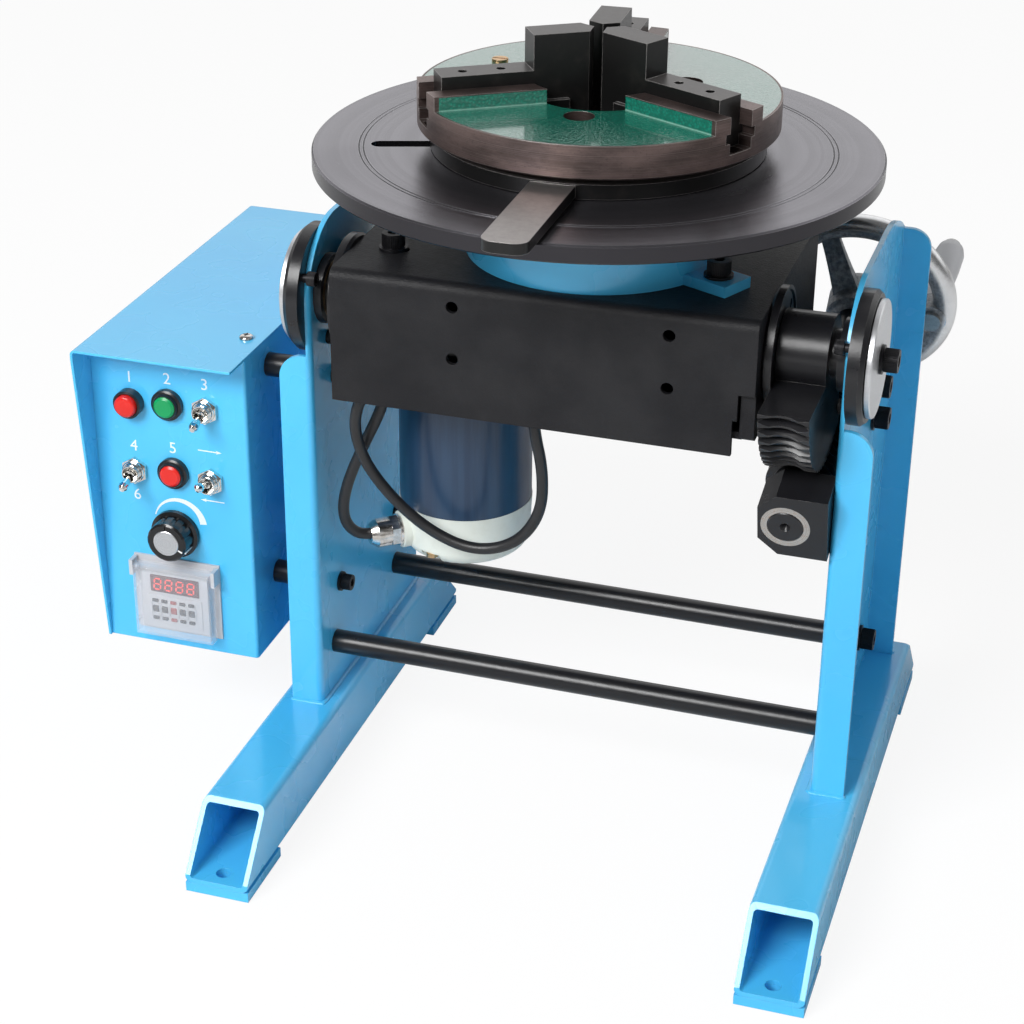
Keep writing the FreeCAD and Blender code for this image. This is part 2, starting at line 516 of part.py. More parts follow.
def bearing(z0):
    """Deep-groove ball bearing as one ring with a shield recess on each side."""
    w, r0, r1 = BEARING_W, SPINDLE_R + RUNNING, BEARING_R
    m0, m1 = SPINDLE_R + 3.5, r1 - 3.5
    profile = [(z0, m0), (z0 + 0.8, m0), (z0 + 0.8, m1), (z0, m1), (z0, r1), (z0 + w, r1), (z0 + w, m1),
               (z0 + w - 0.8, m1), (z0 + w - 0.8, m0), (z0 + w, m0), (z0 + w, r0), (z0, r0)]
    return turned(profile, TABLE_X, TABLE_Y)


def lug_screws():
    return group(socket_screw(p, vec(0, 0, 1), LUG_SCREW, LUG_T + SHEET + 3)
                 for p in lug_places(COVER_TOP + LUG_T))


# ---------------------------------------------------------------- spindle drive inside the head


def plate_bolt_places():
    return [(-107.5, -15.0), (-107.5, 64.0), (MOTOR_X, TABLE_Y + 60.0)]


def gearmotor_plate():
    """Plate with three welded pillars that hang it from the cover's top; the gearbox bolts up to it."""
    plate = prism([vec(x, y, PLATE_Z) for x, y in PLATE_OUTLINE], vec(0, 0, PLATE_T))
    plate = plate.cut(rod(vec(MOTOR_X, TABLE_Y, PLATE_Z - 1), vec(MOTOR_X, TABLE_Y, PLATE_Z + PLATE_T + 1),
                          15))
    for x, y in plate_bolt_places():
        plate = plate.fuse(rod(vec(x, y, PLATE_Z), vec(x, y, COVER_TOP - SHEET), PILLAR_R))
    for x, y in plate_bolt_places():
        plate = plate.cut(rod(vec(x, y, PLATE_Z - 1), vec(x, y, COVER_TOP), PLATE_BOLT / 2))
    return plate.removeSplitter()


def plate_bolts():
    return group(socket_screw(vec(x, y, COVER_TOP), vec(0, 0, 1), PLATE_BOLT, COVER_TOP - PLATE_Z + 4)
                 for x, y in plate_bolt_places())


def gearbox():
    half = GEARBOX_HALF
    body = box(MOTOR_X - half, MOTOR_X + half, TABLE_Y - half, TABLE_Y + half, MOTOR_TOP, PLATE_Z)
    edges = [e for e in body.Edges if abs(e.Vertexes[0].Z - e.Vertexes[1].Z) > 1]
    body = body.makeFillet(GEARBOX_CORNER, edges)
    return body.cut(rod(vec(MOTOR_X, TABLE_Y, PLATE_Z - 12), vec(MOTOR_X, TABLE_Y, PLATE_Z + 1),
                        OUTPUT_R + RUNNING))


def motor_body():
    z0, z1, r = MOTOR_SEAM, MOTOR_TOP, MOTOR_R
    return turned([(z0, 0), (z0, r), (z1 - 1, r), (z1, r - 1), (z1, 0)], MOTOR_X, TABLE_Y)


def motor_end_cap():
    """Cast end cap: skirt rounded into the bottom, two screw notches in its edge, a boss for the gland."""
    z0, z1, r = MOTOR_BOTTOM, MOTOR_SEAM, MOTOR_R + 0.4
    axis = vec(MOTOR_X, TABLE_Y, 0)
    middle_top, middle_low = axis + vec(0, 0, z1), axis + vec(0, 0, z0)
    rim, skirt_end, floor_edge = axis + vec(r, 0, z1), axis + vec(r - 1.2, 0, z0 + 9), axis + vec(r - 10.5,
                                                                                                  0, z0)
    edges = [Part.makeLine(middle_top, rim), Part.makeLine(rim, skirt_end),
             Part.Arc(skirt_end, axis + vec(r - 4, 0, z0 + 2.6), floor_edge).toShape(),
             Part.makeLine(floor_edge, middle_low), Part.makeLine(middle_low, middle_top)]
    body = Part.Face(Part.Wire(edges)).revolve(axis, vec(0, 0, 1), 360)
    body = body.fuse(rod(gland_base() - GLAND_DIR * 14, gland_base(), 11.0))
    for angle in END_CAP_SCREW_ANGLES:
        low = polar(MOTOR_X, TABLE_Y, MOTOR_R - 3.0, angle, z0 - 1)
        body = body.cut(rod(low, low + vec(0, 0, 8), 6.5))
    return body


GLAND_DIR = vec(math.cos(math.radians(GLAND_ANGLE)), math.sin(math.radians(GLAND_ANGLE)), 0)


def gland_base():
    return polar(MOTOR_X, TABLE_Y, MOTOR_R + 2.5, GLAND_ANGLE, GLAND_Z)


def cable_gland():
    """Metal gland: hexagon nut against the cap, then a domed clamping nut with a bore for the cable."""
    base, out = gland_base(), GLAND_DIR
    body = rod(base, base + out * 2.0, 9.5)
    body = body.fuse(hexagon(base + out * 2.0, out, 17.0, 5.0))
    dome = [(0, 0), (0, 8.6), (8, 8.6), (12, 6.0), (12, 0)]
    body = body.fuse(revolved(dome, base + out * 7.0, out, vec(0, 0, 1)))
    return body.cut(rod(base + out * 9.0, base + out * 20, CABLE_R))


def motor_screws():
    screws = []
    for angle in END_CAP_SCREW_ANGLES:
        p = polar(MOTOR_X, TABLE_Y, MOTOR_R - 3.5, angle, MOTOR_BOTTOM + 7)
        slot = box(p.x - 4, p.x + 4, p.y - 0.5, p.y + 0.5, p.z - 3, p.z - 1.6)
        screws.append(rod(p, p - vec(0, 0, 2.5), 3.6).cut(slot))
    return group(screws)


def spur_gear(teeth, x, y, z0, face, phase, bore):
    """Spur gear with three-point flanks that follow the involute, thinned a little for backlash."""
    m = DRIVE_MODULE
    r = m * teeth / 2
    root, tip = r - 1.2 * m, r + 0.95 * m
    backlash = 0.12
    base = r * math.cos(math.radians(20))
    inv = math.tan(math.radians(20)) - math.radians(20)

    def half_angle(radius):
        if radius <= base:
            return math.pi / (2 * teeth) + inv - backlash / r
        a = math.acos(base / radius)
        return math.pi / (2 * teeth) + inv - (math.tan(a) - a) - backlash / r

    points = []
    for i in range(teeth):
        mid = 2 * math.pi * i / teeth + math.radians(phase)
        for radius, side in ((root, -1), (r, -1), (tip, -1), (tip, 1), (r, 1), (root, 1)):
            a = mid + side * half_angle(radius)
            points.append(vec(x + radius * math.cos(a), y + radius * math.sin(a), z0))
    gear = prism(points, vec(0, 0, face))
    return gear.cut(rod(vec(x, y, z0 - 1), vec(x, y, z0 + face + 1), bore)) if bore else gear


def drive_pinion():
    """Pinion on the gearbox's output shaft; a tooth space faces the spindle gear."""
    gear = spur_gear(PINION_TEETH, MOTOR_X, TABLE_Y, DRIVE_Z, DRIVE_FACE, 180.0 / PINION_TEETH, 0)
    shaft = rod(vec(MOTOR_X, TABLE_Y, PLATE_Z - 11), vec(MOTOR_X, TABLE_Y, DRIVE_Z + 1), OUTPUT_R)
    return gear.fuse(shaft).fuse(rod(vec(MOTOR_X, TABLE_Y, DRIVE_Z - 4), vec(MOTOR_X, TABLE_Y, DRIVE_Z), 12))


def spindle_gear():
    gear = spur_gear(GEAR_TEETH, TABLE_X, TABLE_Y, DRIVE_Z, DRIVE_FACE, 180.0, SPINDLE_R)
    for i in range(GEAR_WINDOWS):
        p = polar(TABLE_X, TABLE_Y, GEAR_WINDOW_AT, 360 / GEAR_WINDOWS * i, DRIVE_Z - 1)
        gear = gear.cut(rod(p, p + vec(0, 0, DRIVE_FACE + 2), GEAR_WINDOW_R))
    hub_low, hub_high = vec(TABLE_X, TABLE_Y, DRIVE_Z - GEAR_HUB_LONG), vec(TABLE_X, TABLE_Y, DRIVE_Z)
    hub = tube(hub_low, hub_high, GEAR_HUB_R, SPINDLE_R)
    return gear.fuse(hub)


def spindle():
    """Hollow spindle with a flange under the table."""
    z0, z1 = DRIVE_Z - 10, TABLE_TOP - TABLE_T
    under = UPPER_BEARING_Z + BEARING_W + 0.3
    profile = [(z0, THROUGH_BORE_R), (z0, SPINDLE_R), (under, SPINDLE_R), (under, FLANGE_R), (z1, FLANGE_R),
               (z1, THROUGH_BORE_R)]
    body = turned(profile, TABLE_X, TABLE_Y)
    for angle in TABLE_SCREW_ANGLES:
        body = body.cut(rod(polar(TABLE_X, TABLE_Y, TABLE_SCREW_R, angle, under - 1),
                            polar(TABLE_X, TABLE_Y, TABLE_SCREW_R, angle, z1 + 1), TABLE_SCREW / 2))
    return body


# ---------------------------------------------------------------- tilt drive
RISE = math.radians(WORM_RISE)
WORM_DIR = vec(0, math.cos(RISE), math.sin(RISE))
WORM_UP = vec(0, -math.sin(RISE), math.cos(RISE))
WORM_FOOT = vec(WORM_X, TILT_Y, TILT_Z) - WORM_UP * WORM_DROP  # worm axis, nearest to the tilt axis
TOOTH_STEP = 360.0 / SECTOR_TEETH
WORM_PITCH = math.pi * WORM_MODULE
LEAD_ANGLE = math.degrees(math.atan(WORM_MODULE / (2 * WORM_R)))
TOOTH_HALF_PITCH_LINE = 1.25  # half thickness of a thread at the pitch line
SPACE_HALF_PITCH_LINE = 1.75  # half width of a tooth space there
FLANK = math.tan(math.radians(20))


def on_worm(along, up=0.0, across=0.0):
    return WORM_FOOT + WORM_DIR * along + WORM_UP * up + vec(across, 0, 0)


def space_cutter():
    """One tooth space: the ring that a thread sweeps, rolled a little each way to relieve the flanks."""
    inner, outer = WORM_R - 3.2, WORM_R + 2.5
    wide = SPACE_HALF_PITCH_LINE + FLANK * (WORM_R - inner)
    narrow = SPACE_HALF_PITCH_LINE - FLANK * (outer - WORM_R)
    cutters = []
    for roll in (-7.0, 0.0, 7.0):
        slide = SECTOR_R * math.radians(roll)
        corners = [(-wide, inner), (wide, inner), (narrow, outer), (-narrow, outer)]
        points = [WORM_FOOT + WORM_DIR * a + WORM_UP * r for a, r in corners]
        ring = Part.Face(Part.makePolygon(points + [points[0]]))
        ring.rotate(WORM_FOOT, WORM_DIR, -75)
        ring = ring.revolve(WORM_FOOT, WORM_DIR, 150)
        ring.rotate(WORM_FOOT, WORM_UP, LEAD_ANGLE)
        ring.translate(WORM_DIR * slide)
        ring.rotate(vec(0, TILT_Y, TILT_Z), vec(1, 0, 0), -roll)
        cutters.append(ring)
    return cutters[0].multiFuse(cutters[1:])


def worm_sector():
    """Throated worm-wheel sector on the right trunnion."""
    x0, x1 = WORM_X - SECTOR_FACE / 2, WORM_X + SECTOR_FACE / 2
    centre = vec(x0, TILT_Y, TILT_Z)
    disc = Part.makeCylinder(SECTOR_RIM_R, SECTOR_FACE, centre, vec(1, 0, 0))
    outline = [(-90, SECTOR_TOP), (0, SECTOR_TOP), (0, 0), (86, -110), (-90, -110)]
    wedge = prism([centre + vec(0, y, z) for y, z in outline], vec(SECTOR_FACE, 0, 0))
    body = disc.common(wedge).fuse(Part.makeCylinder(SECTOR_BOSS_R, SECTOR_FACE, centre, vec(1, 0, 0)))
    rings = []
    step = space_cutter()
    for i in range(FIRST_SPACE, LAST_SPACE + 1):
        space = step.copy()
        space.rotate(vec(0, TILT_Y, TILT_Z), vec(1, 0, 0), -TOOTH_STEP * i)
        rings.append(space)
    groove = Part.makeTorus(WORM_DROP, WORM_R - WORM_MODULE, vec(WORM_X, TILT_Y, TILT_Z), vec(1, 0, 0))
    body = body.cut(groove)
    for space in rings:
        body = body.cut(space)
    return body.cut(rod(vec(x0 - 1, TILT_Y, TILT_Z), vec(x1 + 1, TILT_Y, TILT_Z), TRUNNION_R))


def worm_thread(length):
    """Helical thread of the worm along +Z from the origin: a swept trapezoid, its foot sunk in the core."""
    foot, tip = WORM_R - 2.9, WORM_R + 1.7
    helix = Part.makeHelix(WORM_PITCH, length, WORM_R)
    wide = TOOTH_HALF_PITCH_LINE + FLANK * (WORM_R - foot)
    narrow = TOOTH_HALF_PITCH_LINE - FLANK * (tip - WORM_R)
    points = [vec(foot, 0, -wide), vec(tip, 0, -narrow), vec(tip, 0, narrow), vec(foot, 0, wide)]
    profile = Part.makePolygon(points + [points[0]])
    return Part.Wire(helix.Edges).makePipeShell([profile], True, True)


def worm_shaft():
    """Worm and shaft in one piece, with a centre hole in its front end."""
    thread = worm_thread(2 * THREAD_HALF)
    thread.translate(vec(0, 0, -THREAD_HALF))
    front, rear, shoulder, root = FRONT_BLOCK[1] + 0.3, REAR_BLOCK[0] - 0.3, WORM_SHOULDER_R, WORM_R - 2.4
    profile = [(SHAFT_FRONT, 0), (SHAFT_FRONT, SCREW_R - 0.6), (SHAFT_FRONT + 0.6, SCREW_R), (front, SCREW_R),
               (front, shoulder), (-WORM_HALF, shoulder), (-WORM_HALF, root), (WORM_HALF, root),
               (WORM_HALF, shoulder), (rear, shoulder), (rear, SCREW_R), (SHAFT_BACK, SCREW_R),
               (SHAFT_BACK, 0)]
    body = revolved(profile, vec(0, 0, 0), vec(0, 0, 1), vec(1, 0, 0)).fuse(thread)
    body = body.cut(Part.makeCone(3.0, 0.2, 4.0, vec(0, 0, SHAFT_FRONT), vec(0, 0, 1)))
    return body


def place_on_worm(shape, phase=0.0):
    """Carries a shape built along +Z at the origin onto the worm's axis."""
    shape = shape.copy()
    if phase:
        shape.rotate(vec(0, 0, 0), vec(0, 0, 1), phase)
    shape.rotate(vec(0, 0, 0), vec(1, 0, 0), -(90 - WORM_RISE))
    shape.translate(WORM_FOOT)
    return shape


def block_screw_places(along):
    places = []
    for up in (-BLOCK_SCREW_UP, BLOCK_SCREW_UP):
        p = on_worm(along, up)
        places.append(vec(WEB_IN, p.y, p.z))
    return places


def worm_block(start, end, screw_along, hole_r):
    """Chamfered bearing block that stands on the inside of the right web."""
    outline = [(WEB_IN, -BLOCK_UP), (BLOCK_LEFT + 11, -BLOCK_UP), (BLOCK_LEFT, -BLOCK_UP + 10),
               (BLOCK_LEFT, BLOCK_UP - 9), (BLOCK_LEFT + 10, BLOCK_UP), (WEB_IN, BLOCK_UP)]
    block = prism([on_worm(start, up, x - WORM_X) for x, up in outline], WORM_DIR * (end - start))
    block = block.cut(rod(on_worm(start - 1), on_worm(end + 1), WORM_BUSH_R))
    for place in block_screw_places(screw_along):
        block = block.cut(rod(place - vec(BLOCK_TAP_DEEP, 0, 0), place + vec(1, 0, 0), hole_r))
    return block


def worm_bushes():
    return group(tube(on_worm(a), on_worm(b), WORM_BUSH_R, SCREW_R + RUNNING) for a,
                 b in (FRONT_BLOCK, REAR_BLOCK))


def block_screws():
    screws = []
    for along, size, washer in ((FRONT_SCREW_ALONG, FRONT_SCREW, False),
                                (REAR_SCREW_ALONG, REAR_SCREW, True)):
        for p in block_screw_places(along):
            seat = p + vec(SHEET, 0, 0)
            screws.append(socket_screw(seat, vec(1, 0, 0), size, SHEET + BLOCK_SCREW_IN, washer))
    return group(screws)


def handwheel():
    """Cast handwheel: round rim, three tapering spokes dished to a long hub, and a boss for the grip."""
    hub = revolved([(128, SCREW_R), (128, 14), (130, 16.5), (150, 18), (156, 16), (160, 13), (160, SCREW_R)],
                   vec(0, 0, 0), vec(0, 0, 1), vec(1, 0, 0))
    rim = Part.makeTorus(WHEEL_RIM_R, WHEEL_TUBE_R, vec(0, 0, WHEEL_PLANE), vec(0, 0, 1))
    body = hub.fuse(rim)
    for angle in SPOKE_ANGLES:
        sections = []
        for radius, width, depth, z in SPOKE_SECTIONS:
            corners = [vec(radius, -width / 2, z - depth / 2), vec(radius, width / 2, z - depth / 2),
                       vec(radius, width / 2 - 2, z + depth / 2), vec(radius, -width / 2 + 2, z + depth / 2)]
            sections.append(Part.makePolygon(corners + [corners[0]]))
        spoke = Part.makeLoft(sections, True, False)
        spoke.rotate(vec(0, 0, 0), vec(0, 0, 1), angle)
        body = body.fuse(spoke)
    body = body.fuse(rod(on_grip_axis(GRIP_BOSS_START), on_grip_axis(GRIP_BOSS_END), GRIP_BOSS_R))
    return body.cut(rod(on_grip_axis(GRIP_BOSS_START - 7), on_grip_axis(GRIP_BOSS_END + 8), GRIP_BOLT_R))


def on_grip_axis(along):
    """Point on the grip's axis, in the handwheel's own frame."""
    return polar(0, 0, GRIP_R, SPOKE_ANGLES[1], along)


def grip_bolt():
    """Bolt with a head behind the rim and a cap in front of the grip."""
    start, seat, cap, end = GRIP_BOLT_START, GRIP_BOSS_START, GRIP_BOLT_END - 2.0, GRIP_BOLT_END
    body = rod(on_grip_axis(start), on_grip_axis(seat), 6.0)
    body = body.fuse(rod(on_grip_axis(seat), on_grip_axis(cap), GRIP_BOLT_R))
    return body.fuse(rod(on_grip_axis(cap), on_grip_axis(end), 5.5))


def grip():
    """Turned grip that spins on its bolt."""
    start, end, bore = GRIP_BOSS_END + 1.0, GRIP_BOLT_END - 2.5, GRIP_BOLT_R + RUNNING
    profile = [(start, bore), (start, 6.5), (168, 6.0), (178, 7.0), (200, 8.6), (214, 9.0), (219, 8.0),
               (end, 6.5),
               (end, bore)]
    return revolved(profile, on_grip_axis(0), vec(0, 0, 1), vec(1, 0, 0))


# ---------------------------------------------------------------- table and chuck


def table():
    """Faced plate with a turned double groove, a locating groove and one radial slot."""
    z0, z1 = TABLE_TOP - TABLE_T, TABLE_TOP
    profile = [(z0, THROUGH_BORE_R), (z0, TABLE_R - 1), (z0 + 1, TABLE_R), (z1 - 1, TABLE_R),
               (z1, TABLE_R - 1)]
    for radius, half, depth in TABLE_GROOVES:
        profile += [(z1, radius + half), (z1 - depth, radius), (z1, radius - half)]
    profile.append((z1, THROUGH_BORE_R))
    body = turned(profile, TABLE_X, TABLE_Y)
    slot = box(TABLE_X + SLOT_IN, TABLE_X + SLOT_OUT, TABLE_Y - SLOT_HALF, TABLE_Y + SLOT_HALF, z0 - 1,
               z1 + 1)
    for radius in (SLOT_IN, SLOT_OUT):
        end = vec(TABLE_X + radius, TABLE_Y, z0 - 1)
        slot = slot.fuse(rod(end, end + vec(0, 0, TABLE_T + 2), SLOT_HALF))
    body = body.cut(spun(slot, TABLE_X, TABLE_Y, SLOT_ANGLE))
    for angle in TABLE_SCREW_ANGLES:
        body = body.cut(table_screw(angle))
    for angle in MID_SECTORS:
        body = body.cut(chuck_screw(angle))
    return body


def countersunk_screw(top, into, length):
    """Countersunk screw whose head lies flush at top and whose shank goes along into."""
    half = TABLE_SCREW / 2
    return Part.makeCone(2 * half, half, half, top, into).fuse(rod(top, top + into * length, half))


def table_screw(angle, tip_gap=0.0):
    """Countersunk screw down through the table into the spindle's flange."""
    top = polar(TABLE_X, TABLE_Y, TABLE_SCREW_R, angle, TABLE_TOP)
    return countersunk_screw(top, vec(0, 0, -1), TABLE_T + 5.0 - tip_gap)


def chuck_screw(angle):
    """Countersunk screw up through the table into the chuck's hub."""
    low = polar(TABLE_X, TABLE_Y, CHUCK_SCREW_R, angle, TABLE_TOP - TABLE_T)
    return countersunk_screw(low, vec(0, 0, 1), TABLE_T + 10)


def chuck_body():
    """Round body on a hub, three raised guideways with T-slots, three round windows between them."""
    body = turned([(TABLE_TOP, CHUCK_BORE_R), (TABLE_TOP, HUB_R), (CHUCK_BOTTOM, HUB_R),
                   (CHUCK_BOTTOM, CHUCK_R - 1),
                   (CHUCK_BOTTOM + 1, CHUCK_R), (CHUCK_FLOOR, CHUCK_R), (CHUCK_FLOOR, CHUCK_BORE_R)],
                   TABLE_X, TABLE_Y)
    for angle in JAW_ANGLES:
        guide = box(0, CHUCK_R, -GUIDE_HALF, GUIDE_HALF, CHUCK_FLOOR - 1, GUIDE_TOP)
        guide.translate(vec(TABLE_X, TABLE_Y, 0))
        guide = guide.common(rod(vec(TABLE_X, TABLE_Y, CHUCK_FLOOR - 1), vec(TABLE_X, TABLE_Y, GUIDE_TOP),
                                 CHUCK_R))
        body = body.fuse(spun(guide, TABLE_X, TABLE_Y, angle))
    body = body.removeSplitter()
    centre = vec(TABLE_X, TABLE_Y, TABLE_TOP - 1)
    body = body.cut(rod(centre, vec(TABLE_X, TABLE_Y, GUIDE_TOP + 1), CHUCK_BORE_R))
    body = body.cut(rod(vec(TABLE_X, TABLE_Y, FLOOR_SLAB), vec(TABLE_X, TABLE_Y, GUIDE_TOP + 1), CENTRE_R))
    half = JAW_W / 2 + SLOT_CLEAR
    for angle in JAW_ANGLES:
        slot = box(0, CHUCK_R + 1, -half, half, FLOOR_SLAB, GUIDE_TOP + 1)
        slot = slot.fuse(box(0, CHUCK_R + 1, -half - TONGUE, half + TONGUE, TONGUE_LOW - TONGUE_CLEAR,
                             TONGUE_HIGH + TONGUE_CLEAR))
        slot = slot.fuse(box(HUB_R + 1, RACK_END + JAW_TRAVEL + 0.5, -RACK_HALF - RACK_CLEAR,
                             RACK_HALF + RACK_CLEAR, CHUCK_BOTTOM - 1, FLOOR_SLAB + 1))
        slot.translate(vec(TABLE_X, TABLE_Y, 0))
        body = body.cut(spun(slot, TABLE_X, TABLE_Y, angle))
    for angle in MID_SECTORS:
        p = polar(TABLE_X, TABLE_Y, WINDOW_AT, angle, CHUCK_BOTTOM - 1)
        body = body.cut(rod(p, p + vec(0, 0, 20), WINDOW_R)).cut(chuck_screw(angle))
    p = polar(TABLE_X, TABLE_Y, PLUG_AT, PLUG_ANGLE, CHUCK_FLOOR)
    return body.cut(rod(p - vec(0, 0, PLUG_DEEP), p + vec(0, 0, 1), PLUG_R))


def chuck_plug():
    """Brass plug screw set in the chuck's floor."""
    p = polar(TABLE_X, TABLE_Y, PLUG_AT, PLUG_ANGLE, CHUCK_FLOOR)
    body = rod(p - vec(0, 0, PLUG_DEEP), p, PLUG_R).fuse(rod(p, p + vec(0, 0, 1.6), PLUG_HEAD_R))
    return body.cut(box(p.x - 5, p.x + 5, p.y - 0.6, p.y + 0.6, p.z + 0.7, p.z + 2))


SCROLL_TURNS = (SCROLL_R - 3.0 - RIDGE_START) / SCROLL_PITCH


def spiral_edge(offset, backwards=False):
    """Smooth edge along the scroll's spiral, moved outwards by an offset."""
    steps = int(SCROLL_TURNS * 12)
    points = []
    for i in range(steps + 1):
        turn = SCROLL_TURNS * i / steps
        points.append(polar(TABLE_X, TABLE_Y, RIDGE_START + offset + SCROLL_PITCH * turn, 360 * turn,
                            SCROLL_FACE))
    if backwards:
        points.reverse()
    curve = Part.BSplineCurve()
    curve.interpolate(points)
    return curve.toShape(), points[0], points[-1]


def scroll_plate():
    """Ring with the spiral that works the jaws, and three flat levers to turn it by."""
    ring = turned([(SCROLL_BOTTOM, HUB_R + RUNNING), (SCROLL_BOTTOM, SCROLL_R), (SCROLL_FACE, SCROLL_R),
                   (SCROLL_FACE, HUB_R + RUNNING)], TABLE_X, TABLE_Y)
    for angle, reach in LEVERS:
        low = SCROLL_BOTTOM + 1
        lever = box(SCROLL_R - 4, reach, -LEVER_HALF, LEVER_HALF, low, low + LEVER_T)
        corners = [e for e in lever.Edges if all(abs(v.X - reach) < 1e-6 for v in e.Vertexes)
                   and abs(e.Length - LEVER_T) < 1e-6]
        lever = lever.makeFillet(LEVER_CORNER, corners)
        lever.translate(vec(TABLE_X, TABLE_Y, 0))
        ring = ring.fuse(spun(lever, TABLE_X, TABLE_Y, angle))
    outer, a, b = spiral_edge(RIDGE_HALF)
    inner, c, d = spiral_edge(-RIDGE_HALF, backwards=True)
    face = Part.Face(Part.Wire([outer, Part.makeLine(b, c), inner, Part.makeLine(d, a)]))
    face.translate(vec(0, 0, -0.5))
    return ring.fuse(face.extrude(vec(0, 0, RIDGE_TOP - SCROLL_FACE + 0.5))).removeSplitter()


def jaw(angle):
    """Stepped jaw: pointed tip, tall block, low step with two holes, side tongues and a rack below."""
    half = JAW_W / 2
    point = JAW_TIP + half / math.tan(math.radians(60))
    plan = [(JAW_TIP, 0), (point, -half), (JAW_REACH, -half), (JAW_REACH, half), (point, half)]
    low = prism([vec(r, w, FLOOR_SLAB + 0.1) for r, w in plan], vec(0, 0, JAW_STEP_TOP - FLOOR_SLAB - 0.1))
    plan = [(JAW_TIP, 0), (point, -half), (JAW_BLOCK_REACH, -half), (JAW_BLOCK_REACH, half), (point, half)]
    tall = prism([vec(r, w, JAW_STEP_TOP - 1) for r, w in plan], vec(0, 0, JAW_TOP - JAW_STEP_TOP + 1))
    body = low.fuse(tall)
    body = body.fuse(box(TONGUE_START, JAW_REACH, -half - TONGUE + 0.05, half + TONGUE - 0.05, TONGUE_LOW,
                         TONGUE_HIGH))
    tooth_low, tooth_high = SCROLL_FACE + 0.4, RIDGE_TOP + 0.6
    first = RIDGE_START + SCROLL_PITCH * (0.5 + (angle % 360) / 360)
    while first < RIDGE_START + 2.5:
        first += SCROLL_PITCH
    rack = box(HUB_R + 2, RACK_END, -RACK_HALF, RACK_HALF, tooth_high, FLOOR_SLAB + 1)
    tooth = first
    while tooth + 2 < RACK_END:
        rack = rack.fuse(box(tooth - RACK_TOOTH_HALF, tooth + RACK_TOOTH_HALF, -RACK_HALF, RACK_HALF,
                             tooth_low, tooth_high + 1))
        tooth += SCROLL_PITCH
    body = body.fuse(rack).removeSplitter()
    for radius in JAW_HOLES:
        low = vec(radius, 0, JAW_STEP_TOP - JAW_HOLE_DEEP)
        body = body.cut(rod(low, vec(radius, 0, JAW_STEP_TOP + 1), JAW_HOLE_R))
    body.translate(vec(TABLE_X, TABLE_Y, 0))
    return spun(body, TABLE_X, TABLE_Y, angle)


# ---------------------------------------------------------------- control case


def case_body():
    """Sheet case: front panel, right side, back and bottom, with a turned-in flange to screw the lid to."""
    t, top = CASE_SHEET, LID_TOP - CASE_SHEET
    outer = box(CASE_LEFT, CASE_RIGHT, CASE_FRONT, CASE_BACK, CASE_BOTTOM, top)
    edge = [e for e in outer.Edges if e.BoundBox.XLength < 1e-6 and e.BoundBox.YLength < 1e-6
            and abs(e.BoundBox.XMax - CASE_RIGHT) < 1e-6]
    outer = outer.makeFillet(CASE_BEND, edge)
    inner = box(CASE_LEFT - 1, CASE_RIGHT - t, CASE_FRONT + t, CASE_BACK - t, CASE_BOTTOM + t, top + 1)
    body = outer.cut(inner)
    body = body.fuse(box(CASE_RIGHT - CASE_FLANGE, CASE_RIGHT - t / 2, CASE_FRONT + t / 2,
                         CASE_BACK - t / 2, top - t, top))
    for x, z, radius in ((*LAMP, LAMP_R), (*RESET, COLLAR_R), (*LOCK, COLLAR_R), (*KNOB, POT_BUSH_R)):
        body = body.cut(rod(vec(x, CASE_FRONT - 1, z), vec(x, CASE_FRONT + t + 1, z), radius))
    for x, z, _ in TOGGLES.values():
        body = body.cut(rod(vec(x, CASE_FRONT - 1, z), vec(x, CASE_FRONT + t + 1, z), TOGGLE_BUSH_R))
    half = TIMER_OPENING_HALF
    body = body.cut(box(TIMER_X - half, TIMER_X + half, CASE_FRONT - 1, CASE_FRONT + t + 1, TIMER_Z - half,
                        TIMER_Z + half))
    for y, z in CASE_BOLTS:
        body = body.cut(rod(vec(CASE_RIGHT - t - 1, y, z), vec(CASE_RIGHT + 1, y, z), CASE_SCREW / 2))
    for x, y in LID_SCREWS:
        body = body.cut(rod(vec(x, y, top - t - 1), vec(x, y, top + 1), LID_SCREW_R))
    return body.removeSplitter()


def case_lid():
    """Folded lid: top with front and back overhangs, and the left side with its slanting front edge."""
    t, bend = CASE_SHEET, LID_BEND
    x0, x1 = CASE_LEFT - t, CASE_RIGHT + 0.5
    outer = box(x0, x1, LID_FRONT, LID_BACK, CASE_BOTTOM, LID_TOP)
    edge = [e for e in outer.Edges if e.BoundBox.XLength < 1e-6 and e.BoundBox.ZLength < 1e-6
            and abs(e.BoundBox.XMax - x0) < 1e-6 and abs(e.BoundBox.ZMax - LID_TOP) < 1e-6]
    outer = outer.makeFillet(bend, edge)
    inner = box(CASE_LEFT, x1 + 1, LID_FRONT - 1, LID_BACK + 1, CASE_BOTTOM - 1, LID_TOP - t)
    edge = [e for e in inner.Edges if e.BoundBox.XLength < 1e-6 and e.BoundBox.ZLength < 1e-6
            and abs(e.BoundBox.XMax - CASE_LEFT) < 1e-6 and e.BoundBox.ZMax > LID_TOP - t - 1e-6]
    body = outer.cut(inner.makeFillet(bend - t, edge))
    rake = [(LID_FRONT - 1, LID_TOP - 6), (LID_FRONT, LID_TOP - 6), (CASE_FRONT - 2, CASE_BOTTOM),
            (CASE_FRONT - 2, CASE_BOTTOM - 1), (LID_FRONT - 1, CASE_BOTTOM - 1)]
    body = body.cut(prism([vec(x0 - 1, y, z) for y, z in rake], vec(20, 0, 0)))
    for x, y in LID_SCREWS:
        body = body.cut(rod(vec(x, y, LID_TOP - t - 1), vec(x, y, LID_TOP + 1), LID_SCREW_R))
    return body


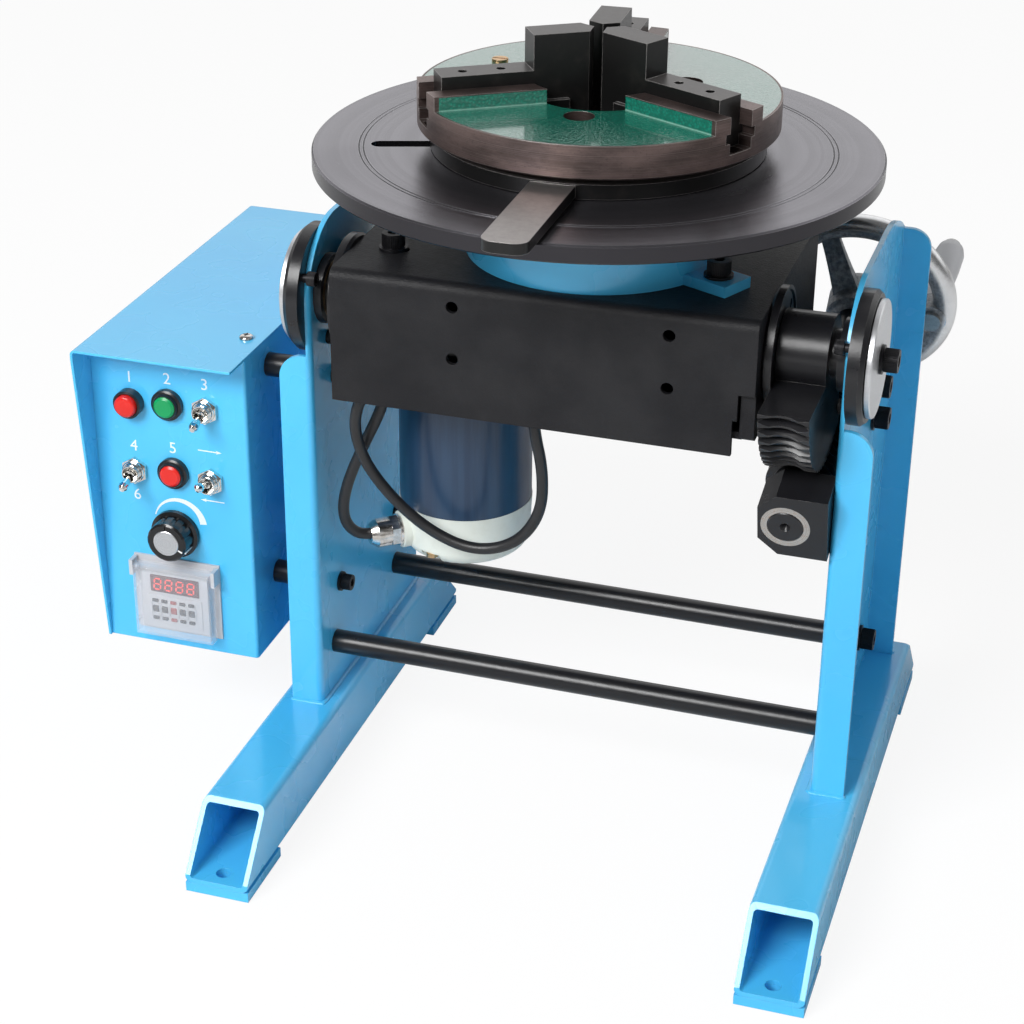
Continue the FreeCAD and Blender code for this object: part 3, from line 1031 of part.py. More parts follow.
def case_standoffs():
    return group(tube(vec(CASE_RIGHT, y, z), vec(-WEB_OUT, y, z), STANDOFF_R, CASE_SCREW / 2) for y,
                 z in CASE_BOLTS)


def case_screws():
    """Cap screws into both ends of every standoff, from inside the upright and from inside the case."""
    screws = []
    for y, z in CASE_BOLTS:
        screws.append(socket_screw(vec(-WEB_IN, y, z), vec(1, 0, 0), CASE_SCREW, SHEET + CASE_SCREW_IN))
        screws.append(socket_screw(vec(CASE_RIGHT - CASE_SHEET, y, z), vec(-1, 0, 0), CASE_SCREW,
                                   CASE_SHEET + CASE_SCREW_IN, washer=False))
    return group(screws)


def lid_screws():
    screws = []
    for x, y in LID_SCREWS:
        top = vec(x, y, LID_TOP)
        head = revolved([(0, 0), (0, 3.6), (1.0, 3.3), (2.0, 2.0), (2.2, 0)], top, vec(0, 0, 1), vec(1, 0, 0))
        screws.append(head.fuse(rod(top - vec(0, 0, 8), top, LID_SCREW_R)))
    return group(screws)


def on_panel(points, x, z):
    """Solid of revolution about a line through the panel; points are (Y, radius)."""
    return revolved(points, vec(x, 0, z), vec(0, 1, 0), vec(1, 0, 0))


def pilot_lamp():
    """Domed lens in a stepped bezel, with its body behind the panel."""
    f, rear = CASE_FRONT, CASE_FRONT + PANEL_REAR
    return on_panel([(f - 9, 0), (f - 8.6, 2.6), (f - 7.4, 4.8), (f - 5.4, 6.4), (f - 3, 6.8), (f - 3, 8.0),
                     (f - 2.2, 8.5), (f, 8.5), (f, LAMP_R), (rear, LAMP_R), (rear, 0)], *LAMP)


def button_collars():
    f, rear, bore = CASE_FRONT, CASE_FRONT + PANEL_REAR, BUTTON_R + RUNNING
    profile = [(f - 4, bore), (f - 4, 8.4), (f - 3.2, 9.5), (f, 9.5), (f, COLLAR_R), (rear, COLLAR_R),
               (rear, 0),
               (f + 12, 0), (f + 12, bore)]
    return group(on_panel(profile, *place) for place in (RESET, LOCK))


def button(place):
    f = CASE_FRONT
    return on_panel([(f - 7.2, 0), (f - 7.2, 5.2), (f - 6.2, BUTTON_R), (f + 8, BUTTON_R), (f + 8, 0)],
                    *place)


def toggle_switches():
    """Bushing, nut and body of each toggle switch in one piece."""
    f, switches = CASE_FRONT, []
    for x, z, _ in TOGGLES.values():
        bush = on_panel([(f - 8, 4.7), (f - 8, 5.2), (f - 7.6, TOGGLE_BUSH_R), (f + 2, TOGGLE_BUSH_R),
                         (f + 2, 0),
                         (f - 1.4, 0), (f - 1.4, 4.7)], x, z)
        nut = hexagon(vec(x, f, z), vec(0, -1, 0), 14.6, 2.6).cut(rod(vec(x, f - 4, z), vec(x, f + 1, z),
                                                                      5.0))
        body = box(x - 7, x + 7, f + CASE_SHEET, f + PANEL_REAR, z - 10, z + 10)
        switches.append(bush.fuse(nut).fuse(body).removeSplitter())
    return group(switches)


def toggle_lever(x, z, side):
    """Bat lever on its ball; side 1 rests down and -1 rests up."""
    p = TOGGLE_PIVOT_Y
    body = on_panel([(p - 16, 0), (p - 15.6, 1.6), (p - 14, 2.6), (p - 12, 2.8), (p - 2.6, 1.5),
                     (p - 2.2, 2.2), (p, 3.1),
                     (p + 1.6, 2.6), (p + 2.6, 1.4), (p + 2.8, 0)], x, z)
    body = body.fuse(rod(vec(x - TOGGLE_PIN_HALF, p, z), vec(x + TOGGLE_PIN_HALF, p, z), TOGGLE_PIN_R))
    body.rotate(vec(x, p, z), vec(1, 0, 0), side * TOGGLE_THROW)
    return body


def speed_pot():
    """Potentiometer: threaded bush with its nut, and a round body behind the panel."""
    f = CASE_FRONT
    bore, rear = POT_SHAFT_R + RUNNING, f + CASE_SHEET
    body = on_panel([(f - 7, bore), (f - 7, POT_BUSH_R), (rear, POT_BUSH_R), (rear, 12), (f + 12, 12),
                     (f + 12, 0),
                     (f + 9, 0), (f + 9, bore)], *KNOB)
    x, z = KNOB
    nut = hexagon(vec(x, f, z), vec(0, -1, 0), 12.0, 2.4).cut(rod(vec(x, f - 4, z), vec(x, f + 1, z), 4.0))
    return body.fuse(nut).removeSplitter()


def speed_knob():
    """Skirted knob with its shaft, hollow behind to clear the nut, with a raised pointer rib."""
    f = CASE_FRONT
    body = on_panel([(f - 15, 0), (f - 15, 11.2), (f - 14, 12.4), (f - 4.2, 13.0), (f - 3.4, 15.0),
                     (f - 0.6, 15.0),
                     (f - 0.6, 9), (f - 9, 9), (f - 9, POT_SHAFT_R), (f + 8, POT_SHAFT_R), (f + 8, 0)], *KNOB)
    x, z = KNOB
    step = 2 * math.pi / KNOB_FLUTES
    for i in range(KNOB_FLUTES):
        a = step * (i + 0.5)
        cx, cz = x + KNOB_FLUTE_AT * math.cos(a), z + KNOB_FLUTE_AT * math.sin(a)
        body = body.cut(rod(vec(cx, f - 16, cz), vec(cx, f - 4.4, cz), KNOB_FLUTE_R))
    return body.cut(box(x - 0.6, x + 0.6, f - 16, f - 14.4, z + 2, z + 14))


def timer_body():
    """Panel timer: thin bezel, raised face, hinge cheeks, and its box behind the panel."""
    f, x, z, half = CASE_FRONT, TIMER_X, TIMER_Z, TIMER_BOX_HALF
    body = box(x - 27.7, x + 27.7, f - 1.3, f, z - TIMER_HALF_H, z + TIMER_HALF_H + 2)
    body = body.fuse(box(x - half, x + half, f - 1, f + 60, z - half, z + half))
    body = body.fuse(box(x - 22, x + 22, f - 5, f - 1, z - half, z + 13.5))
    for side in (-1, 1):
        x0 = x + side * (TIMER_HALF_W + 0.4)
        x1 = x0 + side * 2.3
        cheek = box(min(x0, x1), max(x0, x1), f - 9, f, HINGE_Z - 5, HINGE_Z + 5)
        pin = rod(vec(x0 - side * 1.8, HINGE_Y, HINGE_Z), vec(x0 + side * 1, HINGE_Y, HINGE_Z), HINGE_PIN_R)
        body = body.fuse(cheek).fuse(pin)
    return body.removeSplitter()


def timer_cover():
    """Clear flap over the timer's face, open at the back, swinging up on two pins."""
    x0, x1, wall = TIMER_X - TIMER_HALF_W, TIMER_X + TIMER_HALF_W, COVER_SKIN
    z0, z1, front = TIMER_Z - TIMER_HALF_H, TIMER_Z + TIMER_HALF_H - 1, CASE_FRONT - COVER_DEEP
    outer = box(x0, x1, front, CASE_FRONT - 3.3, z0, z1)
    edges = [e for e in outer.Edges if all(abs(v.Y - front) < 1e-6 for v in e.Vertexes)]
    outer = outer.makeFillet(1.5, edges)
    inner = box(x0 + wall, x1 - wall, front + wall, CASE_FRONT, z0 + wall, z1 - wall)
    body = outer.cut(inner)
    pin_hole = rod(vec(x0 - 5, HINGE_Y, HINGE_Z), vec(x1 + 5, HINGE_Y, HINGE_Z), HINGE_PIN_R + RUNNING)
    return body.cut(pin_hole)


# ---------------------------------------------------------------- cables
def routed(points):
    """Tube's path: straight runs joined by tangent arcs nearly as large as the runs allow."""
    edges, at = [], points[0]
    for i in range(1, len(points) - 1):
        before, here, after = points[i - 1], points[i], points[i + 1]
        run_in, run_out = (here - before), (after - here)
        u, v = Vector(run_in).normalize(), Vector(run_out).normalize()
        turn = u.getAngle(v)
        cut = 0.45 * min(run_in.Length, run_out.Length)
        radius = cut / math.tan(turn / 2)
        start, end = here - u * cut, here + v * cut
        bisector = (v - u).normalize()
        centre = here + bisector * (radius / math.cos(turn / 2))
        middle = centre - bisector * radius
        edges.append(Part.LineSegment(at, start).toShape())
        edges.append(Part.Arc(start, middle, end).toShape())
        at = end
    edges.append(Part.LineSegment(at, points[-1]).toShape())
    return Part.Wire(edges)


def cable(points):
    wire = routed([Vector(*p) for p in points])
    start = Vector(*points[0])
    along = (Vector(*points[1]) - start).normalize()
    section = Part.Wire(Part.makeCircle(CABLE_R, start, along))
    print("cable of %.1f mm" % wire.Length)
    return wire.makePipeShell([section], True, True)


MOTOR_CABLE = [(-121.5, -9.9, 153), (-129.7, -16.5, 153.2), (-136.4, -22.3, 160.8), (-138.5, -24.6, 173.2),
               (-134.5, -25.2, 192), (-124, -25.4, 217), (-112.5, -25.8, 241), (-106, -26.6, 264),
               (-103.5, -27, 288)]
SENSOR_CABLE = [(-104, -36, 288), (-112, -37, 266), (-125, -38, 243), (-122, -37, 218), (-108, -33.5, 194),
                (-84, -31, 172), (-56, -30, 162), (-31, -29, 170), (-16, -29, 192), (-15, -30, 220),
                (-20.5, -32, 247), (-22, -33, 272)]


def cable_clips():
    """Two clamps on the inside of the cover's front wall that hold the cables' ends."""
    wall = COVER_FRONT + SHEET
    left = box(-112, -96, wall, -21, 284, 296)
    right = box(-29, -15, wall, -26.5, 268, 278)
    return group([left, right])


# ---------------------------------------------------------------- all pieces
save("feet", group([foot(-FOOT_X), foot(FOOT_X)]))
save("foot_pads", foot_pads())
save("upright_left", left_upright())
save("upright_right", right_upright())
save("tie_bars", group([tie_bar(TIE_FRONT_Y), tie_bar(TIE_REAR_Y)]))
save("tie_bar_screws", tie_bar_screws())
save("pivot_housings", group([pivot_housing(), mirrored(pivot_housing())]))
save("pivot_bushes", group([pivot_bush(), mirrored(pivot_bush())]))
save("pivot_screws", pivot_screws())
save("worm_blocks", group([worm_block(*FRONT_BLOCK, FRONT_SCREW_ALONG, FRONT_SCREW / 2),
                           worm_block(*REAR_BLOCK, REAR_SCREW_ALONG, REAR_SCREW / 2)]))
save("worm_bushes", worm_bushes())
save("worm_block_screws", block_screws())
save("case_body", case_body())
save("case_lid", case_lid())
save("case_standoffs", case_standoffs())
save("case_screws", group([case_screws(), lid_screws()]))
save("pilot_lamp", pilot_lamp())
save("button_collars", button_collars())
save("toggle_switches", toggle_switches())
save("speed_pot", speed_pot())
save("timer_body", timer_body())

save("head_cover", head_cover())
save("end_plates", chassis())
save("trunnions", group([trunnion(-1), trunnion(1)]))
save("trunnion_caps", group([trunnion_cap(), mirrored(trunnion_cap())]))
save("head_screws", group([cap_screws(), lug_screws(), plate_bolts(), trunnion_screws()]))
save("worm_sector", worm_sector())
save("bearing_housing", bearing_housing())
save("spindle_bearings", group([bearing(COVER_TOP), bearing(UPPER_BEARING_Z)]))
save("gearmotor_plate", gearmotor_plate())
save("gearbox", gearbox())
save("motor_body", motor_body())
save("motor_end_cap", motor_end_cap())
save("motor_screws", motor_screws())
save("cable_gland", cable_gland())
save("motor_cable", cable(MOTOR_CABLE))
save("sensor_cable", cable(SENSOR_CABLE))
save("cable_clips", cable_clips())

save("table", table())
save("spindle", spindle())
save("spindle_gear", spindle_gear())
save("table_screws", group([table_screw(a, 0.5) for a in TABLE_SCREW_ANGLES] + [chuck_screw(a)
                                                                                for a in MID_SECTORS]))
save("chuck_body", chuck_body())
save("chuck_plug", chuck_plug())
save("drive_pinion", drive_pinion())
save("scroll_plate", scroll_plate())
for number, jaw_angle in enumerate(JAW_ANGLES, 1):
    save("jaw_%d" % number, jaw(jaw_angle))

save("worm_shaft", place_on_worm(worm_shaft(), 270 - 360 * THREAD_HALF / WORM_PITCH))
save("handwheel", place_on_worm(handwheel()))
save("grip_bolt", place_on_worm(grip_bolt()))
save("grip", place_on_worm(grip()))

save("reset_button", button(RESET))
save("lock_button", button(LOCK))
for toggle, (x, z, side) in TOGGLES.items():
    save(toggle, toggle_lever(x, z, side))
save("speed_knob", speed_knob())
save("timer_cover", timer_cover())

print(len(NODES), "nodes")
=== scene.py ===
"""Looks of a bench welding positioner: its finishes, cables, panel marks and small fittings."""

import json
import math

import bmesh
import bpy
from mathutils import Matrix, Vector


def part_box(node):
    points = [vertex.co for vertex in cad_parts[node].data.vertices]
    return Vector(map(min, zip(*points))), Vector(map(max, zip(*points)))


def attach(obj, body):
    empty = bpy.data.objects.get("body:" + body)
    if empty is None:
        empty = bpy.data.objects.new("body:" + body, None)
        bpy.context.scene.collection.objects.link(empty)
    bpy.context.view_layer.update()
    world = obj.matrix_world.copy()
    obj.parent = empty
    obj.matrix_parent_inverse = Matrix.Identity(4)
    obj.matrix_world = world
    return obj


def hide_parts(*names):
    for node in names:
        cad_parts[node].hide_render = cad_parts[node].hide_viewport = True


bl_info = {
    "name": "Welding positioner looks",
    "version": (1, 0, 0),
    "blender": (4, 5, 0),
    "location": "View3D > Sidebar > Positioner",
    "description": "Finishes, cables and fittings of a bench welding positioner around its fixed frame",
    "category": "Object",
}

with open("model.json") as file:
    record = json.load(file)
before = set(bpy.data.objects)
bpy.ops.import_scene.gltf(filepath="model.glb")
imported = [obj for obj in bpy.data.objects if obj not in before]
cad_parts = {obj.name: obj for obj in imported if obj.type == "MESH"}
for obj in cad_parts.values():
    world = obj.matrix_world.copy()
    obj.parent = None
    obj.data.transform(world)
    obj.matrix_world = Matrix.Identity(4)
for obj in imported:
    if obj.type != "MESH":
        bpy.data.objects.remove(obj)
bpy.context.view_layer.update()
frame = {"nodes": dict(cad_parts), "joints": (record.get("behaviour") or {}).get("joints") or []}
JOINTS = {joint["name"]: joint for joint in frame["joints"]}
MM = 0.001
UP, FORWARD, RIGHT = Vector((0, 0, 1)), Vector((0, -1, 0)), Vector((1, 0, 0))
DEG = math.radians(1)


# ---------------------------------------------------------------- node graphs
def maths(operation, reflected=False):
    """A method of Value that adds one Math node; a reflected one takes the value second."""
    def apply(self, other=0.0):
        first, second = (other, self) if reflected else (self, other)
        return self.graph.node("ShaderNodeMath", {"operation": operation}, {0: first, 1: second})
    return apply


class Value:
    """A socket's output, with arithmetic that adds Math nodes to its graph."""

    def __init__(self, graph, socket):
        self.graph, self.socket = graph, socket

    __add__, __radd__ = maths("ADD"), maths("ADD", reflected=True)
    __sub__, __rsub__ = maths("SUBTRACT"), maths("SUBTRACT", reflected=True)
    __mul__, __rmul__ = maths("MULTIPLY"), maths("MULTIPLY", reflected=True)
    __gt__, __lt__, __pow__ = maths("GREATER_THAN"), maths("LESS_THAN"), maths("POWER")
    __abs__, sine = maths("ABSOLUTE"), maths("SINE")


class Graph:
    """A node tree being built. Every node comes from node(), which sets it up and wraps one output."""

    def __init__(self, tree):
        self.tree = tree

    def node(self, kind, settings=None, values=None, out=0):
        made = self.tree.nodes.new(kind)
        for key, value in (settings or {}).items():
            setattr(made, key, value)
        for key, value in (values or {}).items():
            socket = made.inputs[key]
            if isinstance(value, Value):
                self.tree.links.new(value.socket, socket)
            elif socket.type == "RGBA" and len(value) == 3:
                socket.default_value = (*value, 1.0)
            else:
                socket.default_value = value
        return Value(self, made.outputs[out])

    def ramp(self, value, low, high):
        """Takes value from low..high to 0..1, clamped and smoothed."""
        return self.node("ShaderNodeMapRange", {"interpolation_type": "SMOOTHSTEP"},
                         {"Value": value, "From Min": low, "From Max": high})


class Finish(Graph):
    """A material being mixed: patterns on the object's own coordinates, then one coat of surface()."""

    def __init__(self, name):
        self.material = bpy.data.materials.new(name)
        self.material.use_nodes = True
        super().__init__(self.material.node_tree)
        self.tree.nodes.clear()
        self.place = self.node("ShaderNodeTexCoord", out="Object")

    def noise(self, scale, detail=2.0, roughness=0.5, stretch=None):
        """Soft noise; scale is in turns per metre, and stretch multiplies the coordinates first."""
        vector = self.vector("MULTIPLY", self.place, stretch) if stretch else self.place
        return self.node("ShaderNodeTexNoise", {},
                         {"Vector": vector, "Scale": scale, "Detail": detail, "Roughness": roughness})

    def rings(self, scale, coordinate, detail=3.0):
        """Noise along one coordinate, as a turning tool leaves it."""
        return self.node("ShaderNodeTexNoise", {"noise_dimensions": "1D"},
                         {"W": coordinate, "Scale": scale, "Detail": detail, "Roughness": 0.6})

    def cells(self, scale):
        """Distance from the middle of the nearest of many scattered grains."""
        return self.node("ShaderNodeTexVoronoi", {}, {"Vector": self.place, "Scale": scale})

    def mix(self, share, first, second):
        return self.node("ShaderNodeMix", {"data_type": "RGBA"}, {0: share, 6: first, 7: second}, out=2)

    def vector(self, operation, *parts, out="Vector"):
        return self.node("ShaderNodeVectorMath", {"operation": operation}, dict(enumerate(parts)), out)

    def along(self, centre, axis):
        """Distance from a point, measured along an axis."""
        return self.vector("DOT_PRODUCT", self.vector("SUBTRACT", self.place, centre), axis, out="Value")

    def off_axis(self, centre, axis):
        """Distance from an axis."""
        length = self.vector("LENGTH", self.vector("SUBTRACT", self.place, centre), out="Value")
        along = self.along(centre, axis)
        return (length * length - along * along) ** 0.5

    def beside_jaws(self, radius):
        """Distance from the middle line of the nearest jaw, for a radius about the table's axis."""
        offset = self.vector("SUBTRACT", self.place, TABLE_AXIS)
        parts = [self.node("ShaderNodeSeparateXYZ", {}, {"Vector": offset}, out=name) for name in ("X", "Y")]
        bearing = self.node("ShaderNodeMath", {"operation": "ARCTAN2"}, {0: parts[1], 1: parts[0]})
        turn = self.node("ShaderNodeMath", {"operation": "PINGPONG"}, {0: bearing - JAW_BEARING, 1: 60 * DEG})
        return radius * turn.sine()

    def facing(self, direction):
        """Cosine between the true face normal and a direction, in the object's own axes."""
        normal = self.node("ShaderNodeTexCoord", out="Normal")
        return self.vector("DOT_PRODUCT", normal, direction, out="Value")

    def softened(self, radius):
        """Normal of the surface as if its edges were rounded."""
        return self.node("ShaderNodeBevel", {"samples": 4}, {"Radius": radius})

    def rubbed_edges(self, radius):
        """One along the sharp edges and nought on flat faces: the mask by which the finishes lighten their
        edges, part wear and part painted highlight.
        """
        plain = self.node("ShaderNodeNewGeometry", out="True Normal")
        return self.ramp(self.vector("DOT_PRODUCT", self.softened(radius), plain, out="Value"), 0.995, 0.90)

    def surface(self, colour, roughness, metallic=0.0, relief=None, depth=0.0, edge=0.0, **constants):
        """The one shader: relief is a height pattern, depth its size, edge the rounding of sharp edges."""
        values = {"Base Color": colour, "Roughness": roughness, "Metallic": metallic}
        values.update({key.replace("_", " "): value for key, value in constants.items()})
        if relief is not None:
            bump = {"Strength": 1.0, "Distance": depth, "Height": relief}
            if edge:
                bump["Normal"] = self.softened(edge)
            values["Normal"] = self.node("ShaderNodeBump", {}, bump)
        return self.shown(self.node("ShaderNodeBsdfPrincipled", {}, values))

    def shown(self, shader):
        output = self.tree.nodes.new("ShaderNodeOutputMaterial")
        self.tree.links.new(shader.socket, output.inputs["Surface"])
        return self.material


class Recipe(Graph):
    """A Geometry Nodes tree: named sizes go in, and the last geometry is realized and given its material."""

    def __init__(self, name, sizes):
        tree = bpy.data.node_groups.new(name, "GeometryNodeTree")
        super().__init__(tree)
        tree.interface.new_socket("Geometry", in_out="INPUT", socket_type="NodeSocketGeometry")
        for label, kind, default in sizes:
            tree.interface.new_socket(label, in_out="INPUT", socket_type=kind).default_value = default
        tree.interface.new_socket("Geometry", in_out="OUTPUT", socket_type="NodeSocketGeometry")
        entry = tree.nodes.new("NodeGroupInput")
        self.given = {socket.name: Value(self, socket) for socket in entry.outputs if socket.name}

    def attribute(self, name):
        return self.node("GeometryNodeInputNamedAttribute", {"data_type": "FLOAT_VECTOR"}, {"Name": name})

    def finished(self, geometry, material):
        real = self.node("GeometryNodeRealizeInstances", {}, {"Geometry": geometry})
        coated = self.node("GeometryNodeSetMaterial", {}, {"Geometry": real, "Material": material})
        leave = self.tree.nodes.new("NodeGroupOutput")
        self.tree.links.new(coated.socket, leave.inputs["Geometry"])

    def cooked(self, name, guide, **sizes):
        """Runs the tree on a guide object and returns the result as a plain mesh object."""
        modifier = guide.modifiers.new(name, "NODES")
        modifier.node_group = self.tree
        for item in self.tree.interface.items_tree:
            key = item.name.lower().replace(" ", "_")
            if item.in_out == "INPUT" and key in sizes:
                modifier[item.identifier] = sizes[key]
        graph = bpy.context.evaluated_depsgraph_get()
        mesh = bpy.data.meshes.new_from_object(guide.evaluated_get(graph))
        bpy.data.objects.remove(guide)
        mesh.name = name
        return linked(name, mesh)


# ---------------------------------------------------------------- meshes
def linked(name, data):
    """A new object in the scene, at the origin."""
    made = bpy.data.objects.new(name, data)
    bpy.context.scene.collection.objects.link(made)
    return made


def riding(made, body):
    """Fixes a finished piece to a body."""
    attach(made, body)


def piece_from(name, bm, material, body, smooth=True):
    """Turns a bmesh into a finished piece that rides on a body."""
    bmesh.ops.remove_doubles(bm, verts=bm.verts, dist=1e-7)
    bmesh.ops.recalc_face_normals(bm, faces=bm.faces)
    mesh = bpy.data.meshes.new(name)
    bm.to_mesh(mesh)
    bm.free()
    mesh.materials.append(material)
    if smooth:
        mesh.shade_smooth()
        mesh.set_sharp_from_angle(angle=35 * DEG)
    riding(linked(name, mesh), body)


def slab(bm, low, high, bevel=0.0, turn=Matrix()):
    """Adds a block between two corners, turned by a matrix, its edges broken by bevel."""
    low, high = Vector(low), Vector(high)
    made = bmesh.ops.create_cube(bm, size=1.0)["verts"]
    for vertex in made:
        vertex.co = turn @ ((low + high) / 2 + vertex.co * (high - low))
    if bevel:
        edges = list(dict.fromkeys(edge for vertex in made for edge in vertex.link_edges))
        bmesh.ops.bevel(bm, geom=edges, offset=bevel, segments=2, profile=0.5, affect="EDGES")


def spokes_round(axis, segments):
    """A unit axis, and the directions out from it to the corners of a circle."""
    axis = Vector(axis).normalized()
    across = axis.orthogonal().normalized()
    other = axis.cross(across)
    angles = (2 * math.pi * i / segments for i in range(segments))
    return axis, [across * math.cos(a) + other * math.sin(a) for a in angles]


def turned(bm, profile, origin, axis, segments=48):
    """Adds a closed turned shape: profile is (distance along the axis, radius), from one end to the other."""
    axis, spokes = spokes_round(axis, segments)
    loops = []
    for along, radius in profile:
        centre = Vector(origin) + axis * along
        loops.append([bm.verts.new(centre + spoke * radius) for spoke in (spokes if radius else spokes[:1])])
    for first, second in zip(loops, loops[1:]):
        for i in range(segments):
            j = (i + 1) % segments
            corners = list(dict.fromkeys([first[i % len(first)], first[j % len(first)],
                                          second[j % len(second)], second[i % len(second)]]))
            if len(corners) > 2:
                bm.faces.new(corners)
    if len(loops[0]) > 1 and len(loops[-1]) > 1:
        for loop in (loops[0], loops[-1]):
            bm.faces.new(loop)


def ring_band(bm, profile, origin, axis, segments=64):
    """Adds a ring: profile is a closed outline of (distance along the axis, radius)."""
    axis, spokes = spokes_round(axis, segments)
    loops = [[bm.verts.new(Vector(origin) + axis * along + spoke * radius) for along, radius in profile]
             for spoke in spokes]
    for i in range(segments):
        first, second = loops[i], loops[(i + 1) % segments]
        for k in range(len(profile)):
            n = (k + 1) % len(profile)
            bm.faces.new([first[k], first[n], second[n], second[k]])


def plate(bm, outline, thickness, direction, hole=()):
    """Adds a flat plate: a closed outline, with a hole if one is given, made solid along a direction."""
    edges = []
    for loop in filter(None, (outline, hole)):
        corners = [bm.verts.new(p) for p in loop]
        edges += [bm.edges.new((corners[i], corners[(i + 1) % len(corners)])) for i in range(len(corners))]
    faces = [g for g in bmesh.ops.triangle_fill(bm, edges=edges, use_beauty=True)["geom"]
             if isinstance(g, bmesh.types.BMFace)]
    grown = bmesh.ops.extrude_face_region(bm, geom=faces)["geom"]
    for vertex in (g for g in grown if isinstance(g, bmesh.types.BMVert)):
        vertex.co += Vector(direction) * thickness


def islands(node):
    """The separate bodies of metal in a node, each as its vertices' places."""
    bm = bmesh.new()
    bm.from_mesh(frame["nodes"][node].data)
    bmesh.ops.remove_doubles(bm, verts=bm.verts, dist=2e-6)
    found, seen = [], set()
    for start in bm.verts:
        if start in seen:
            continue
        pile, island = [start], []
        seen.add(start)
        while pile:
            vertex = pile.pop()
            island.append(vertex.co.copy())
            for edge in vertex.link_edges:
                near = edge.other_vert(vertex)
                if near not in seen:
                    seen.add(near)
                    pile.append(near)
        found.append(island)
    bm.free()
    return found


def reach_of(places):
    """Lowest and highest corner of the box round some places."""
    return tuple(Vector([end(place[i] for place in places) for i in range(3)]) for end in (min, max))


def middle(node):
    """Middle of a node's box."""
    low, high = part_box(node)
    return (low + high) / 2


# ---------------------------------------------------------------- sizes and colours a user would change
def colour(name, description, default):
    return bpy.props.FloatVectorProperty(name=name, description=description, default=default, subtype="COLOR",
                                         size=3, min=0.0, max=1.0)


def length(name, description, millimetres):
    return bpy.props.FloatProperty(name=name, description=description, default=millimetres * MM, min=0.0,
                                   unit="LENGTH", precision=5)


def number(name, description, default, low=0.0, high=1.0):
    return bpy.props.FloatProperty(name=name, description=description, default=default, min=low, max=high)


def power(name, description, watts):
    return bpy.props.FloatProperty(name=name, description=description, default=watts, min=0.0, unit="POWER")


def count(name, description, default):
    return bpy.props.IntProperty(name=name, description=description, default=default, min=1, max=200)


class PositionerColours(bpy.types.PropertyGroup):
    """Colours of the finishes."""

    enamel: colour("Enamel", "Blue enamel of the stand and the control case", (0.080, 0.54, 0.90))
    enamel_deep: colour("Enamel, thick", "The same enamel where it lies thicker", (0.065, 0.49, 0.87))
    black: colour("Black", "Powder coat and oxide on the head and the fasteners", (0.008, 0.008, 0.010))
    table: colour("Table", "Faced and blackened table", (0.19, 0.183, 0.205))
    iron: colour("Iron", "Turned iron of the chuck's wall", (0.100, 0.070, 0.064))
    chuck_green: colour("Chuck enamel", "Hammered enamel on the chuck's floor", (0.003, 0.20, 0.135))
    ground: colour("Ground faces", "Ground upper faces of the jaws and levers", (0.46, 0.43, 0.42))
    navy: colour("Motor", "Enamel on the motor's body", (0.010, 0.032, 0.075))
    cap: colour("Motor cap", "Enamel on the motor's end cap", (0.72, 0.76, 0.70))
    ink: colour("Marks", "Printed marks on the control panel", (0.80, 0.90, 0.96))
    red: colour("Red", "Lamp and lock button", (0.75, 0.018, 0.012))
    green: colour("Green", "Reset button", (0.0, 0.33, 0.10))
    brass: colour("Brass", "Plug screw in the chuck", (0.72, 0.48, 0.26))


class PositionerSizes(bpy.types.PropertyGroup):
    """Sizes of the small fittings."""

    weld_width: length("Weld width", "Width of the fillet welds on the stand", 4.5)
    weld_pitch: length("Weld pitch", "Distance between the ripples of a weld", 1.3)
    knurl_ribs: count("Knurl ribs", "Ribs round the head of a cap screw", 40)
    rib_share: number("Rib", "Size of a rib, as a share of its screw head's radius", 0.045, 0.0, 0.2)
    thread_pitch: length("Thread pitch", "Pitch of the thread on the switches' necks", 0.75)
    mark_width: length("Mark width", "Width of a printed line on the panel", 0.7)
    digit_height: length("Digit height", "Height of the printed digits on the panel", 7.0)


class PositionerStudio(bpy.types.PropertyGroup):
    """Light and camera."""

    sky: number("Sky", "Brightness of the white room on the object", 0.34, 0.0, 2.0)
    backdrop: number("Backdrop", "Brightness of the wall behind, as shiny faces see it", 1.15, 0.0, 4.0)
    gloom: number("Gloom", "Brightness of the rest of the room, as shiny faces see it", 0.14, 0.0, 2.0)
    key: power("Key", "Power of the large lamp", 96.0)
    fill: power("Fill", "Power of the side lamp", 2.0)
    lens: number("Lens", "Focal length on a 36 mm sensor", 81.5, 10.0, 300.0)
    floor: colour("Floor", "Colour of the floor", (0.92, 0.92, 0.92))


# ---------------------------------------------------------------- finishes
TABLE_AXIS = Vector((*middle("table").xy, 0.0))
TILT_AXIS = Vector(JOINTS["tilt"]["pos_m"])
TABLE_LINES = (0.1270, 0.1294)  # radii of the turned grooves
CHUCK_RIM = (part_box("chuck_body")[1].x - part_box("chuck_body")[0].x) / 2
GUIDE_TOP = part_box("chuck_body")[1].z
CHUCK_FLOOR = GUIDE_TOP - 0.008  # the sectors between the guides are this much lower
GUIDE_HALF = 0.019  # half the width of a jaw's guide
LEVER_TOP = 0.405  # the levers lie below this height and the jaws above it
JAW_BEARING = math.atan2(JOINTS["first_jaw_slide"]["axis"][1], JOINTS["first_jaw_slide"]["axis"][0])


def joint_axis(name):
    """Where a joint's axis passes, and its direction."""
    return Vector(JOINTS[name]["pos_m"]), Vector(JOINTS[name]["axis"]).normalized()


def shade(base, factor):
    """A darker or lighter shade of a colour."""
    return tuple(factor * part for part in base)


